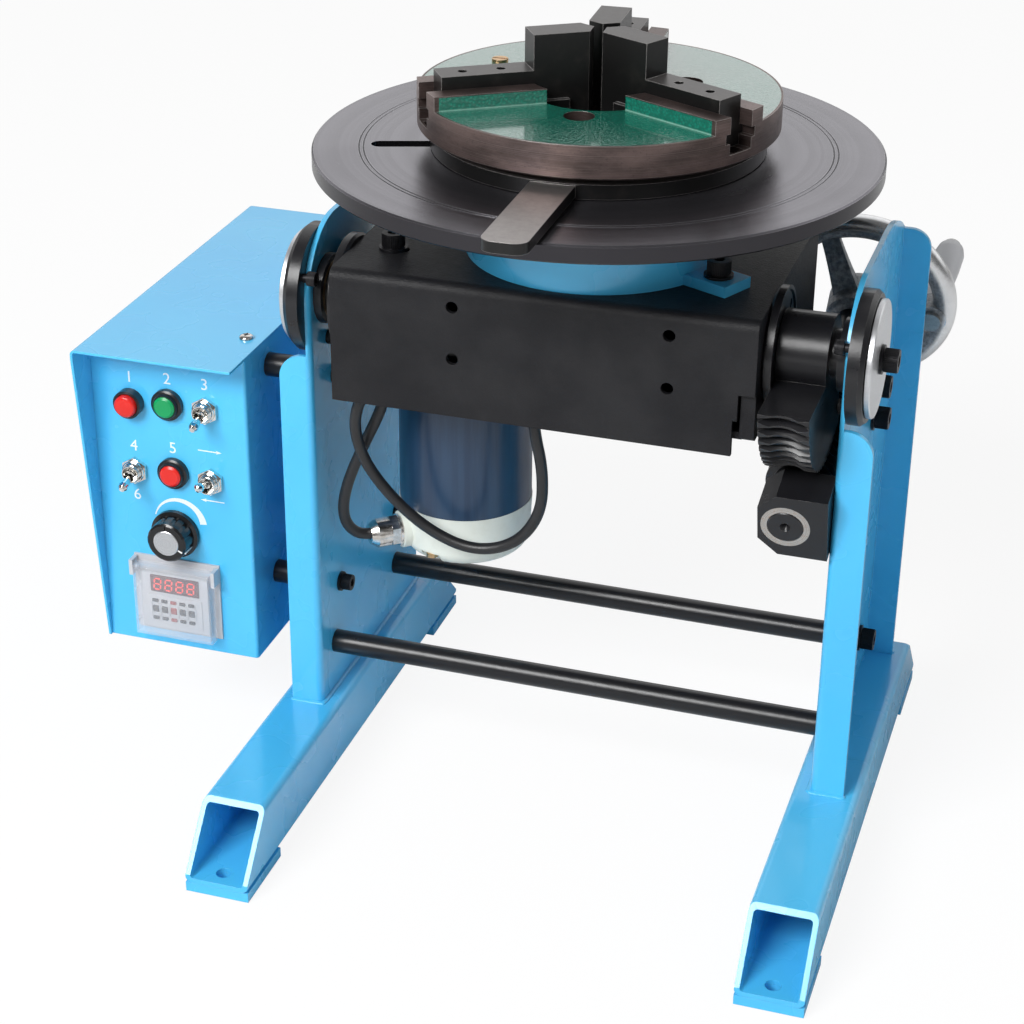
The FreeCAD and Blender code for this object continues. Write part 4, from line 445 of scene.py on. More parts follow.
def blue_enamel(look):
    """Glossy enamel on sheet steel, a little thicker in places, with faint orange peel and duller patches."""
    f = Finish("blue_enamel")
    drift = f.noise(9.0, 3.0)
    peel = f.noise(520.0, 1.0)
    scuff = f.ramp(f.noise(18.0, 2.0, 0.5, stretch=(1.0, 1.0, 0.35)), 0.5, 0.8)
    base = f.mix(f.ramp(drift, 0.3, 0.7), look.enamel_deep, look.enamel)
    rough = 0.24 + 0.06 * f.noise(35.0, 2.0) + 0.05 * scuff
    return f.surface(base, rough, relief=peel, depth=0.000012, edge=0.0006, Coat_Weight=0.35,
                     Coat_Roughness=0.10)


def textured_black(look):
    """Fine sand-textured powder coat."""
    f = Finish("textured_black")
    grit = f.cells(1050.0) * 0.6 + f.noise(700.0, 4.0, 0.7) * 0.8
    base = f.mix(f.ramp(f.noise(26.0, 4.0), 0.35, 0.7), look.black, (0.016, 0.016, 0.018))
    return f.surface(base, 0.44 + 0.14 * f.noise(300.0, 3.0), relief=grit, depth=0.00022, edge=0.0006,
                     Specular_IOR_Level=0.28)


def satin_black(look):
    """Smooth satin black paint on bars, rings and blocks, its edges lightened by wear and by a painted
    highlight.
    """
    f = Finish("satin_black")
    # The rubbed mask lightens the edges in patches: part wear, part painted highlight.
    rubbed = f.rubbed_edges(0.0004) * f.ramp(f.noise(260.0, 4.0, 0.7), 0.42, 0.62)
    base = f.mix(f.noise(40.0, 4.0), look.black, (0.014, 0.014, 0.016))
    base = f.mix(0.7 * rubbed, base, (0.16, 0.155, 0.15))
    rough = 0.22 + 0.16 * f.noise(90.0, 5.0, 0.65)
    return f.surface(base, rough, relief=f.noise(420.0, 3.0), depth=0.00005, edge=0.0003,
                     Specular_IOR_Level=0.45)


def black_oxide(look):
    """Black oxide on hardened screws, brighter where a key has rubbed."""
    f = Finish("black_oxide")
    rub = f.ramp(f.noise(800.0, 4.0, 0.7), 0.55, 0.8)
    base = f.mix(rub, look.black, (0.05, 0.05, 0.055))
    return f.surface(base, 0.30 + 0.2 * f.noise(500.0, 3.0), metallic=0.5, relief=f.noise(1500.0, 2.0),
                     depth=0.00003, edge=0.0003)


def table_black(look):
    """Faced and blackened plate: a dark mirror drawn out by the tool's rings, with two dark grooves."""
    f = Finish("table_black")
    radius = f.off_axis(TABLE_AXIS, UP)
    feed = f.rings(2600.0, radius, 2.0)
    bands = f.rings(75.0, radius, 4.0)
    smudge = f.noise(14.0, 2.0, 0.5)
    base = f.mix(f.ramp(bands, 0.35, 0.65), look.table, shade(look.table, 0.86))
    base = f.mix(0.25 * f.ramp(smudge, 0.4, 0.8), base, shade(look.table, 0.7))
    for scribed in TABLE_LINES:
        line = f.ramp(abs(radius - scribed), 0.00042, 0.00025)
        base = f.mix(0.75 * line, base, shade(look.table, 0.25))
    # Edges lightened to grey: part wear, part painted highlight.
    base = f.mix(0.8 * f.rubbed_edges(0.0004), base, (0.55, 0.55, 0.57))
    rim = f.ramp(f.facing(UP), 0.6, 0.4)
    base = f.mix(rim, base, shade(look.table, 0.25))
    rough = 0.20 + 0.05 * bands + 0.05 * f.ramp(smudge, 0.4, 0.8)
    return f.surface(base, rough, metallic=0.92, relief=feed, depth=0.00005)


def chuck_iron(look):
    """Turned iron with oily pores, and green hammered enamel on the floor's sectors and the guides' sides."""
    f = Finish("chuck_iron")
    height = f.along(Vector(), UP)
    radius = f.off_axis(TABLE_AXIS, UP)
    feed = f.rings(1900.0, height, 3.0)
    pores = f.ramp(f.noise(900.0, 4.0, 0.7), 0.56, 0.72)
    stain = f.noise(30.0, 5.0, 0.6, stretch=(1.0, 1.0, 3.0))
    base = f.mix(f.ramp(stain, 0.35, 0.65), shade(look.iron, 0.8), shade(look.iron, 1.7))
    base = f.mix(0.55 * pores, base, (0.035, 0.026, 0.024))
    base = f.mix(0.22 * f.ramp(feed, 0.45, 0.7), base, (0.30, 0.26, 0.25))
    # Edges lightened: part wear, part painted highlight.
    base = f.mix(0.6 * f.rubbed_edges(0.0005), base, (0.60, 0.57, 0.55))
    upwards = f.facing(UP)
    slack = 0.0006  # how far from its face a coat still counts as lying on it
    floor_coat = (upwards > 0.9) * (abs(height - CHUCK_FLOOR) < 0.0004) * (radius < CHUCK_RIM - 2 * slack)
    side_coat = ((abs(f.beside_jaws(radius) - GUIDE_HALF) < slack) * (abs(upwards) < 0.5)
                 * (height > CHUCK_FLOOR) * (height < GUIDE_TOP - slack) * (radius < CHUCK_RIM - 0.0025))
    coated = floor_coat + side_coat
    hammered = f.cells(620.0) + 0.6 * f.noise(900.0, 3.0)
    foot = f.ramp(height, CHUCK_FLOOR + 0.0011, CHUCK_FLOOR + 0.0002) * side_coat
    green = f.mix(f.ramp(hammered, 0.35, 1.0), look.chuck_green, shade(look.chuck_green, 0.6))
    green = f.mix(0.55 * foot, green, (0.35, 0.62, 0.52))
    bare = 1.0 - coated
    rough = (0.34 + 0.22 * pores + 0.08 * feed) * bare + 0.15 * coated
    relief = (feed + pores * 0.5) * 0.15 * bare + 1.6 * hammered * coated
    return f.surface(f.mix(coated, base, green), rough, metallic=0.8 * bare, relief=relief, depth=0.00016,
                     edge=0.0004, Coat_Weight=coated, Coat_IOR=1.6, Coat_Roughness=0.08, IOR=1.9)


def jaw_black(look):
    """Blackened tool steel, ground bright on the levers' upper faces and lightened along the edges by wear
    and by a painted highlight.
    """
    f = Finish("jaw_black")
    grind = f.noise(1300.0, 3.0, 0.7, stretch=(1.0, 1.0, 0.12))
    worn = f.ramp(f.noise(70.0, 5.0, 0.6), 0.5, 0.75)
    base = f.mix(0.5 * worn, (0.008, 0.008, 0.008), (0.030, 0.026, 0.024))
    upper = f.ramp(f.facing(UP), 0.9, 0.99)
    ground = f.mix(f.noise(240.0, 5.0, 0.7), look.ground, shade(look.ground, 0.55))
    bright = upper * (0.22 + 0.78 * (f.along(Vector(), UP) < LEVER_TOP))
    base = f.mix(bright, base, ground)
    # Edges lightened: part wear, part painted highlight.
    base = f.mix(0.8 * f.rubbed_edges(0.0005), base, (0.45, 0.43, 0.42))
    rough = 0.26 + 0.12 * grind + 0.06 * upper
    return f.surface(base, rough, metallic=0.35 + 0.5 * bright, relief=grind, depth=0.00003, edge=0.0005)


def ground_metal(name, base, metallic, rough, brushed):
    """Bright machined metal with a brushed grain."""
    f = Finish(name)
    grain = f.noise(900.0, 4.0, 0.7, stretch=brushed)
    blotch = f.noise(55.0, 4.0)
    tone = f.mix(f.ramp(grain * 0.6 + blotch * 0.4, 0.3, 0.7), shade(base, 0.62), base)
    return f.surface(tone, rough + 0.15 * grain, metallic=metallic, relief=grain, depth=0.00003)


def bush_steel(look):
    """Bearing bush: faced steel with a rusty bloom."""
    f = Finish("bush_steel")
    place, axis = joint_axis("handwheel_turn")
    radius = f.off_axis(place, axis)
    feed = f.rings(3500.0, radius, 3.0)
    rust = f.ramp(f.noise(420.0, 5.0, 0.7), 0.52, 0.72)
    base = f.mix(f.ramp(feed, 0.4, 0.65), (0.40, 0.36, 0.32), (0.66, 0.63, 0.60))
    base = f.mix(0.55 * rust, base, (0.30, 0.13, 0.05))
    return f.surface(base, 0.32 + 0.25 * rust, metallic=0.9 - 0.5 * rust, relief=feed, depth=0.00002)


def cap_silver(look):
    """Faced end discs with circular grain."""
    f = Finish("cap_silver")
    radius = f.off_axis(TILT_AXIS, RIGHT)
    feed = f.rings(3200.0, radius, 3.0)
    base = f.mix(f.ramp(feed, 0.35, 0.65), (0.60, 0.61, 0.63), (0.80, 0.81, 0.83))
    return f.surface(base, 0.30 + 0.12 * feed, metallic=0.85, relief=feed, depth=0.00002)


def nickel(look):
    """Nickel plate, a little yellow and dull."""
    f = Finish("nickel")
    dull = f.noise(260.0, 4.0, 0.6)
    base = f.mix(f.ramp(dull, 0.35, 0.7), (0.62, 0.58, 0.54), (0.84, 0.82, 0.80))
    return f.surface(base, 0.14 + 0.16 * dull, metallic=1.0, relief=f.noise(900.0, 2.0), depth=0.00002)


def toggle_chrome(look):
    """Bright chrome, dulled where fingers and spanners have been."""
    f = Finish("toggle_chrome")
    dull = f.noise(500.0, 4.0, 0.6)
    base = f.mix(f.ramp(dull, 0.35, 0.7), (0.70, 0.68, 0.64), (0.88, 0.87, 0.85))
    return f.surface(base, 0.09 + 0.12 * dull, metallic=1.0, relief=dull, depth=0.00001)


def motor_navy(look):
    """Thick navy enamel on the rolled motor case, with faint draw lines down it."""
    f = Finish("motor_navy")
    draw = f.noise(140.0, 4.0, 0.6, stretch=(1.0, 1.0, 0.06))
    base = f.mix(f.ramp(draw, 0.35, 0.65), look.navy, (0.018, 0.048, 0.100))
    return f.surface(base, 0.30 + 0.10 * f.noise(60.0, 4.0), relief=draw * 0.5 + f.noise(500.0, 2.0) * 0.5,
                     depth=0.00006, Coat_Weight=0.3, Coat_Roughness=0.2)


def cap_white(look):
    """Off-white enamel on the cast end cap, dusty in its hollows."""
    f = Finish("cap_white")
    cast = f.noise(240.0, 5.0, 0.6)
    dust = f.ramp(f.noise(50.0, 5.0, 0.6), 0.5, 0.8)
    base = f.mix(0.5 * dust, look.cap, (0.55, 0.57, 0.50))
    return f.surface(base, 0.36 + 0.2 * dust, relief=cast, depth=0.00018, Coat_Weight=0.2, Coat_Roughness=0.2)


def cable_sheath(look):
    """Black rubber sheath with a dull bloom."""
    f = Finish("cable_sheath")
    base = f.mix(f.noise(80.0, 3.0), (0.010, 0.010, 0.011), (0.020, 0.020, 0.022))
    return f.surface(base, 0.32 + 0.16 * f.noise(180.0, 4.0), relief=f.noise(700.0, 3.0), depth=0.00006)


def brass(look):
    """Turned brass with fine scratches."""
    f = Finish("brass")
    scratch = f.noise(900.0, 4.0, 0.7, stretch=(0.2, 1.0, 1.0))
    base = f.mix(f.ramp(scratch, 0.35, 0.7), shade(look.brass, 0.65), look.brass)
    return f.surface(base, 0.24 + 0.2 * scratch, metallic=1.0, relief=scratch, depth=0.00003)


def wheel_cast(look):
    """Rough grey casting with a polished outer rim."""
    f = Finish("wheel_cast")
    place, axis = joint_axis("handwheel_turn")
    low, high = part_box("handwheel")
    rim = (high.x - low.x) / 2
    radius = f.off_axis(place, axis)
    polish = f.ramp(radius, rim - 0.0075, rim - 0.0045)
    lumps = f.noise(380.0, 5.0, 0.65)
    rough_skin = f.mix(f.ramp(lumps, 0.3, 0.75), (0.17, 0.18, 0.19), (0.42, 0.43, 0.45))
    bright = f.mix(f.noise(300.0, 4.0, 0.7), (0.62, 0.63, 0.64), (0.86, 0.86, 0.87))
    base = f.mix(polish, rough_skin, bright)
    return f.surface(base, 0.50 - 0.30 * polish + 0.1 * lumps, metallic=0.55 + 0.4 * polish,
                     relief=lumps * (1.0 - 0.9 * polish), depth=0.0008)


def plastic(name, base, rough, grain, tint):
    """Moulded plastic with a faint grain; tint is how dark its darker streaks are."""
    f = Finish(name)
    tone = f.mix(f.noise(70.0, 3.0), shade(base, tint), base)
    return f.surface(tone, rough + 0.1 * f.noise(240.0, 3.0), relief=f.noise(1200.0, 2.0), depth=grain)


def clear_cover(look):
    """Clear moulded plastic: glossy, and whiter where it is seen edge on."""
    f = Finish("clear_cover")
    edge = f.node("ShaderNodeLayerWeight", {}, {"Blend": 0.35}, out="Facing")
    flow = f.noise(45.0, 3.0)
    base = f.mix(f.ramp(flow, 0.3, 0.7), (0.80, 0.84, 0.92), (0.92, 0.94, 0.98))
    return f.surface(base, 0.05 + 0.06 * flow, relief=flow, depth=0.0004, Alpha=0.10 + 0.62 * edge ** 1.4,
                     IOR=1.49)


def knob_disc(look):
    """Spun aluminium disc with a radial sheen."""
    f = Finish("knob_disc")
    place, axis = joint_axis("speed_turn")
    radius = f.off_axis(place, axis)
    feed = f.rings(5200.0, radius, 2.0)
    base = f.mix(f.ramp(feed, 0.35, 0.65), (0.46, 0.47, 0.49), (0.80, 0.81, 0.83))
    return f.surface(base, 0.24 + 0.12 * feed, metallic=0.95, relief=feed, depth=0.00003)


def panel_ink(look):
    """White screen-printed ink, greyer at its thin spots."""
    f = Finish("panel_ink")
    thin = f.noise(1400.0, 3.0, 0.7)
    return f.surface(f.mix(f.ramp(thin, 0.3, 0.6), shade(look.ink, 0.86), look.ink), 0.45 + 0.1 * thin)


def timer_glow(look):
    """Lit segments of the display."""
    f = Finish("timer_glow")
    glow = f.mix(f.noise(900.0, 2.0), (0.85, 0.03, 0.02), (1.0, 0.07, 0.04))
    return f.surface(glow, 0.35, Emission_Color=glow, Emission_Strength=0.55)


FINISHES = {
    "frame_blue": blue_enamel, "case_blue": blue_enamel, "black_steel": satin_black,
    "cover_black": textured_black, "fastener_black": black_oxide, "cap_silver": cap_silver,
    "bush_steel": bush_steel, "motor_navy": motor_navy, "motor_cap_white": cap_white,
    "gland_nickel": nickel, "cable_black": cable_sheath, "brass": brass, "table_black": table_black,
    "chuck_iron": chuck_iron, "jaw_steel": jaw_black, "wheel_cast": wheel_cast,
    "toggle_chrome": toggle_chrome, "clear_cover": clear_cover, "knob_disc": knob_disc,
    "timer_glow": timer_glow, "panel_ink": panel_ink,
}
GROUND_METALS = {  # name, colour, metallic, roughness, stretch of the grain
    "bronze": ("sintered_bronze", (0.55, 0.38, 0.20), 0.9, 0.34, (1.0, 1.0, 1.0)),
    "gear_steel": ("gear_steel", (0.50, 0.50, 0.49), 0.95, 0.28, (1.0, 0.2, 1.0)),
}
PLASTICS = {  # colour or the name of its setting, roughness, depth of the grain, tint of the streaks
    "grip_grey": ((0.66, 0.67, 0.70), 0.28, 0.00003, 0.9),
    "collar_black": ((0.014, 0.014, 0.016), 0.25, 0.00002, 0.7),
    "lamp_red": ("red", 0.18, 0.00001, 0.85),
    "button_green": ("green", 0.26, 0.00001, 0.85),
    "button_red": ("red", 0.26, 0.00001, 0.85),
    "knob_black": ((0.010, 0.010, 0.011), 0.14, 0.00001, 0.7),
    "pointer_white": ((0.85, 0.87, 0.88), 0.4, 0.00001, 0.9),
    "timer_grey": ((0.56, 0.57, 0.60), 0.42, 0.00002, 0.93),
    "timer_window": ((0.085, 0.006, 0.008), 0.08, 0.000005, 0.8),
    "timer_drum": ((0.030, 0.030, 0.034), 0.3, 0.00002, 0.7),
    "timer_drum_red": ((0.36, 0.035, 0.03), 0.3, 0.00002, 0.7),
}
MADE = {}


def finish(slot):
    """The material of a slot, mixed the first time it is asked for."""
    key = FINISHES.get(slot, slot)
    look = bpy.context.scene.positioner_colours
    if key in MADE:
        return MADE[key]
    if slot in FINISHES:
        MADE[key] = key(look)
    elif slot in GROUND_METALS:
        MADE[key] = ground_metal(*GROUND_METALS[slot])
    else:
        base, *rest = PLASTICS[slot]
        MADE[key] = plastic(slot, tuple(getattr(look, base)) if isinstance(base, str) else base, *rest)
    return MADE[key]


# ---------------------------------------------------------------- pieces: frame, cables
def coat_frame():
    """Gives every node of the frame the finish of its material slot."""
    for node in frame["nodes"].values():
        for i, old in enumerate(node.data.materials):
            node.data.materials[i] = finish(old.name.split(".")[0])


MOTOR_CABLE = [(-0.1215, -0.0099, 0.153), (-0.1297, -0.0165, 0.1532), (-0.1364, -0.0223, 0.1608),
               (-0.1385, -0.0246, 0.1732), (-0.1345, -0.0252, 0.192), (-0.124, -0.0254, 0.217),
               (-0.1125, -0.0258, 0.241), (-0.106, -0.0266, 0.264), (-0.1035, -0.027, 0.288)]
SENSOR_CABLE = [(-0.104, -0.036, 0.288), (-0.112, -0.037, 0.266), (-0.125, -0.038, 0.243),
                (-0.122, -0.037, 0.218), (-0.108, -0.0335, 0.194), (-0.084, -0.031, 0.172),
                (-0.056, -0.030, 0.162), (-0.031, -0.029, 0.170), (-0.016, -0.029, 0.192),
                (-0.015, -0.030, 0.220), (-0.0205, -0.032, 0.247), (-0.022, -0.033, 0.272)]
MOTOR_CABLE_LENGTH, SENSOR_CABLE_LENGTH, CABLE_DIAMETER = 0.155, 0.295, 0.0066


def cable(name, node, points):
    """A rubber cable along its route, both ends held in the head."""
    curve = bpy.data.curves.new(name, "CURVE")
    curve.dimensions = "3D"
    spline = curve.splines.new("NURBS")
    spline.points.add(len(points) - 1)
    for point, place in zip(spline.points, points):
        point.co = (*place, 1.0)
    spline.order_u = 3
    spline.use_endpoint_u = True
    curve.resolution_u = 16
    curve.bevel_depth = CABLE_DIAMETER / 2
    curve.bevel_resolution = 6
    curve.use_fill_caps = True
    curve.materials.append(finish("cable_black"))
    made = linked(name, curve)
    riding(made, "tilt_head")
    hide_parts(node)


# ---------------------------------------------------------------- pieces: control panel
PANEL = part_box("case_body")[0].y  # front face of the control case
INK = 0.00006  # thickness of a printed mark
ARROW_LENGTH = 0.015
SWITCHES = ("power_switch", "mode_switch", "direction_switch")


def printed(name, outline):
    """A flat mark printed on the panel: its outline is (x, z) on the panel's face."""
    bm = bmesh.new()
    plate(bm, [(x, PANEL - INK, z) for x, z in outline], INK, (0, 1, 0))
    piece_from(name, bm, finish("panel_ink"), "stand", smooth=False)


def arrow(x, z, reach, sense):
    """A thin arrow with a barbed head, pointing right for sense 1 and left for -1."""
    half, barb_half = bpy.context.scene.positioner_sizes.mark_width / 2, 0.0011
    tail, tip = x - sense * reach / 2, x + sense * reach / 2
    neck, barb = tip - sense * 0.0032, tip - sense * 0.0036
    return [(tail, z - half), (neck, z - half), (barb, z - barb_half), (tip, z),
            (barb, z + barb_half), (neck, z + half), (tail, z + half)]


def middle_of_circle(a, b, c):
    """Centre of the circle through three points (x, z)."""
    twice = 2 * (a[0] * (b[1] - c[1]) + b[0] * (c[1] - a[1]) + c[0] * (a[1] - b[1]))
    squares = [x * x + z * z for x, z in (a, b, c)]
    x = squares[0] * (b[1] - c[1]) + squares[1] * (c[1] - a[1]) + squares[2] * (a[1] - b[1])
    z = squares[0] * (c[0] - b[0]) + squares[1] * (a[0] - c[0]) + squares[2] * (b[0] - a[0])
    return x / twice, z / twice


def crescent(left, top, right, steps=28):
    """Speed scale round the knob: an arc that widens from its left end to its right end."""
    x, z = middle_of_circle(left, top, right)
    radius = math.hypot(left[0] - x, left[1] - z)
    start, end = math.atan2(left[1] - z, left[0] - x), math.atan2(right[1] - z, right[0] - x)
    thin, growth = 0.0003, 0.0019
    outer, inner = [], []
    for i in range(steps + 1):
        angle = start + (end - start) * i / steps
        half = thin + growth * i / steps
        for edge, reach in ((outer, radius + half), (inner, radius - half)):
            edge.append((x + reach * math.cos(angle), z + reach * math.sin(angle)))
    return outer + inner[::-1]


def digit(text, x, z, height, name):
    """A plain printed digit, centred on a point of the panel."""
    curve = bpy.data.curves.new(name, "FONT")
    curve.body = text
    curve.size = height / 0.7  # a digit is 0.7 of the font's size
    curve.align_x = "CENTER"
    curve.resolution_u = 6
    curve.extrude = INK / 2
    lettering = linked(name, curve)
    mesh = bpy.data.meshes.new_from_object(lettering.evaluated_get(bpy.context.evaluated_depsgraph_get()))
    bpy.data.objects.remove(lettering)
    upright = Matrix.Rotation(90 * DEG, 4, "X")
    mesh.transform(Matrix.Translation((x, PANEL - 0.00004, z - height / 2)) @ upright)
    mesh.materials.clear()
    mesh.materials.append(finish("panel_ink"))
    riding(linked(name, mesh), "stand")


def panel_marks():
    """Plain numerals over the controls, two arrows at the direction switch and the speed scale."""
    height = bpy.context.scene.positioner_sizes.digit_height
    over = 0.5 * height + 0.0125  # from a control's axis to the middle of its digit
    power, mode, direction, knob = (joint_axis(name)[0] for name in (*SWITCHES, "speed_turn"))
    controls = (middle("pilot_lamp"), middle("reset_button"), power, mode, middle("lock_button"))
    for i, place in enumerate(controls, 1):
        digit(str(i), place.x, place.z + over, height, f"panel_digit_{i}")
    digit("6", mode.x, mode.z - over, height, "panel_digit_6")
    printed("panel_arrow_right", arrow(direction.x, direction.z + 0.019, ARROW_LENGTH, 1))
    printed("panel_arrow_left", arrow(direction.x, direction.z - 0.0133, ARROW_LENGTH, -1))
    printed("speed_scale", crescent((knob.x - 0.013, knob.z + 0.010), (knob.x - 0.001, knob.z + 0.0215),
                                    (knob.x + 0.0178, knob.z + 0.008)))


def on_panel(bm, centre, rings, profile):
    """Adds a turned ring or boss on the panel; profile is (distance in front of it, radius) in mm."""
    make = ring_band if rings else turned
    make(bm, [(d * MM, r * MM) for d, r in profile], (centre.x, PANEL, centre.z), FORWARD)


def panel_fittings():
    """Lamp's collar and cap, sleeves round the buttons, threaded necks and dress rings on the switches."""
    lamp_at = middle("pilot_lamp")
    bm = bmesh.new()
    on_panel(bm, lamp_at, True, [(0.2, 7.0), (6.2, 7.0), (6.6, 7.3), (6.6, 7.9), (5.9, 8.6), (0.2, 8.6)])
    for place in (middle("reset_button"), middle("lock_button")):
        on_panel(bm, place, True, [(3.8, 6.7), (5.5, 6.7), (5.9, 6.9), (5.9, 7.2), (5.5, 7.5), (3.8, 7.7)])
    piece_from("fitting_collars", bm, finish("collar_black"), "stand")
    bm = bmesh.new()
    on_panel(bm, lamp_at, False, [(5.8, 0.0), (5.8, 6.75), (8.4, 6.6), (9.1, 6.1), (9.5, 5.2), (9.6, 0.0)])
    piece_from("lamp_cap", bm, finish("lamp_red"), "stand")
    bm = bmesh.new()
    pitch = bpy.context.scene.positioner_sizes.thread_pitch / MM
    for name in SWITCHES:
        place = joint_axis(name)[0]
        on_panel(bm, place, True, [(2.5, 5.55), (4.3, 5.55), (4.7, 5.9), (4.7, 6.3), (4.2, 6.9), (2.5, 6.9)])
        crests = [(4.8 + pitch * i / 2, 5.72 - 0.3 * (i % 2)) for i in range(int(2.9 / pitch) * 2 + 1)]
        on_panel(bm, place, True, [(4.8, 5.3), *crests, (crests[-1][0], 5.3)])
    piece_from("switch_necks", bm, finish("toggle_chrome"), "stand")


def knob_fittings():
    """Bright disc on the knob's face and the white line that points at the speed scale."""
    place, _ = joint_axis("speed_turn")
    body = JOINTS["speed_turn"]["child"]
    bm = bmesh.new()
    face = (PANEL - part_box("speed_knob")[0].y) / MM
    on_panel(bm, place, False, [(face - 0.6, 0.0), (face - 0.6, 8.0), (face + 0.25, 8.0), (face + 0.55, 7.6),
                                (face + 0.55, 0.0)])
    piece_from("knob_disc", bm, finish("knob_disc"), body)
    pointed = Matrix.Rotation(25 * DEG, 4, "Y")
    turn = Matrix.Translation(place) @ pointed @ Matrix.Translation(-place)
    bm = bmesh.new()
    front = Vector((place.x, PANEL - face * MM, place.z))
    half = 0.00045
    for near, far in (((0.0083, -0.0002), (0.0112, 0.0006)), ((0.0110, 0.0012), (0.0131, 0.0100))):
        slab(bm, front + Vector((*near, -half)), front + Vector((*far, half)), turn=turn)
    piece_from("knob_pointer", bm, finish("pointer_white"), body, smooth=False)


# place of each bar over half the digit's width and height, and whether it stands upright
DIGIT_BARS = ((0, 1, False), (0, -1, False), (0, 0, False),
              (1, 0.5, True), (1, -0.5, True), (-1, -0.5, True), (-1, 0.5, True))


def lit_digit(bm, centre, half_w, half_h):
    """Adds the seven bars of a lit figure 8."""
    bar, gap, lean = 0.00042, 0.0004, 0.1
    for across, up, upright in DIGIT_BARS:
        place = centre + Vector((across * half_w + lean * up * half_h, 0, up * half_h))
        run, side = (Vector((lean, 0, 1)), RIGHT) if upright else (RIGHT, UP)
        reach = (half_h / 2 if upright else half_w) - gap
        outline = [place - run * reach, place - run * (reach - bar) + side * bar,
                   place + run * (reach - bar) + side * bar, place + run * reach,
                   place + run * (reach - bar) - side * bar, place - run * (reach - bar) - side * bar]
        plate(bm, outline, 0.0002, (0, 1, 0))


WHEEL_ROW, WHEEL_PITCH, WHEEL_RADIUS, WHEEL_HALF = -0.0129, 0.0059, 0.0043, 0.0020
FIGURE_ROW, FIGURE_PITCH, FIGURE_HALF = -0.0108, 0.0072, (0.0021, 0.0036)


def timer_face():
    """Fascia of the timer: a lit display over a plate with five thumbwheels and their push tabs."""
    face = middle("timer_body") + Vector((0, 0, -0.001))
    face.y = PANEL - 0.005

    def block(bm, low, high, bevel):
        slab(bm, face + Vector(low), face + Vector(high), bevel)

    bm = bmesh.new()
    block(bm, (-0.0215, -0.0007, -0.0205), (0.0215, 0.0004, 0.0168), 0.0004)
    block(bm, (-0.0180, -0.0014, -0.0175), (0.0175, -0.0004, 0.0024), 0.0005)
    wheels = [WHEEL_ROW + WHEEL_PITCH * i for i in range(5)]
    for rib in (wheel + edge * 0.0026 for wheel in wheels for edge in (-1, 1)):
        block(bm, (rib - 0.0003, -0.0020, -0.0112), (rib + 0.0003, -0.0008, -0.0030), 0.0001)
    piece_from("timer_fascia", bm, finish("timer_grey"), "stand")
    bm = bmesh.new()
    block(bm, (-0.0156, -0.0016, 0.0046), (0.0160, -0.0004, 0.0160), 0.0005)
    piece_from("timer_window", bm, finish("timer_window"), "stand")
    bm = bmesh.new()
    for i in range(4):
        lit_digit(bm, face + Vector((FIGURE_ROW + FIGURE_PITCH * i, -0.0018, 0.0103)), *FIGURE_HALF)
    piece_from("timer_figures", bm, finish("timer_glow"), "stand", smooth=False)
    drum = [(-WHEEL_HALF, 0.0), (-WHEEL_HALF, 0.0040), (-0.0017, WHEEL_RADIUS), (0.0017, WHEEL_RADIUS),
            (WHEEL_HALF, 0.0040), (WHEEL_HALF, 0.0)]
    for name, slot, row in (("timer_wheels", "timer_drum", wheels[:2] + wheels[3:]),
                            ("timer_wheel_red", "timer_drum_red", wheels[2:3])):
        bm = bmesh.new()
        for wheel in row:
            turned(bm, drum, face + Vector((wheel, 0.0022, -0.0071)), RIGHT, 24)
            for tab in (-0.0012, -0.0131):
                block(bm, (wheel - 0.0019, -0.0024, tab - 0.0010),
                      (wheel + 0.0019, -0.0009, tab + 0.0010), 0.0003)
        piece_from(name, bm, finish(slot), "stand")


def lid_screw_heads():
    """Zinc pan heads with a cross recess over the lid's two screws."""
    bm, cross = bmesh.new(), bmesh.new()
    lid_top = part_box("case_lid")[1].z
    arm, half_slot, recess, head_top = 0.0021, 0.00035, 0.0021, 0.0026
    head = [(0.00002, 0.0), (0.00002, 0.0042), (0.0009, 0.0042), (0.0018, 0.0036), (0.0024, 0.0024),
            (head_top, 0.0014), (recess, 0.0006), (recess, 0.0)]
    for low, high in map(reach_of, islands("case_screws")):
        if high.z < lid_top + 0.001:
            continue
        seat = Vector((*((low + high) / 2).xy, lid_top))
        turned(bm, head, seat, UP)
        for long, wide in ((arm, half_slot), (half_slot, arm)):
            slab(cross, seat + Vector((-long, -wide, recess)),
                 seat + Vector((long, wide, head_top + 0.00002)))
    piece_from("lid_screw_heads", bm, finish("gland_nickel"), "stand")
    piece_from("lid_screw_recess", cross, finish("fastener_black"), "stand", smooth=False)


# ---------------------------------------------------------------- pieces: knurled screw heads, welds
END_FACE = 0.0002  # how near a vertex is to a screw's end to lie on its end face
SMALLEST_HEAD = 0.003  # radius below which a head has no knurl
HEAD_SHAPE = 0.78  # radius of a cap head's end face over the head's height
KNURLED = 0.86  # share of the head's height that is ribbed
WELD_SEED = 4


def screw_heads(*nodes):
    """Middle, axis, radius and height of each cap screw's head in some nodes."""
    heads = []
    for island in (island for node in nodes for island in islands(node)):
        low, high = reach_of(island)
        longest = max(range(3), key=lambda i: high[i] - low[i])
        centre = (low + high) / 2
        axis = Vector([float(i == longest) for i in range(3)])
        radius, end = max((max((place - centre - (place - centre).dot(axis) * axis).length
                               for place in island if abs(place[longest] - side) < END_FACE), side)
                          for side in (low[longest], high[longest]))
        if radius < SMALLEST_HEAD:
            continue
        tall = radius / HEAD_SHAPE
        centre[longest] = end - math.copysign(tall / 2, end - centre[longest])
        heads.append((centre, axis, radius, KNURLED * tall))
    return heads


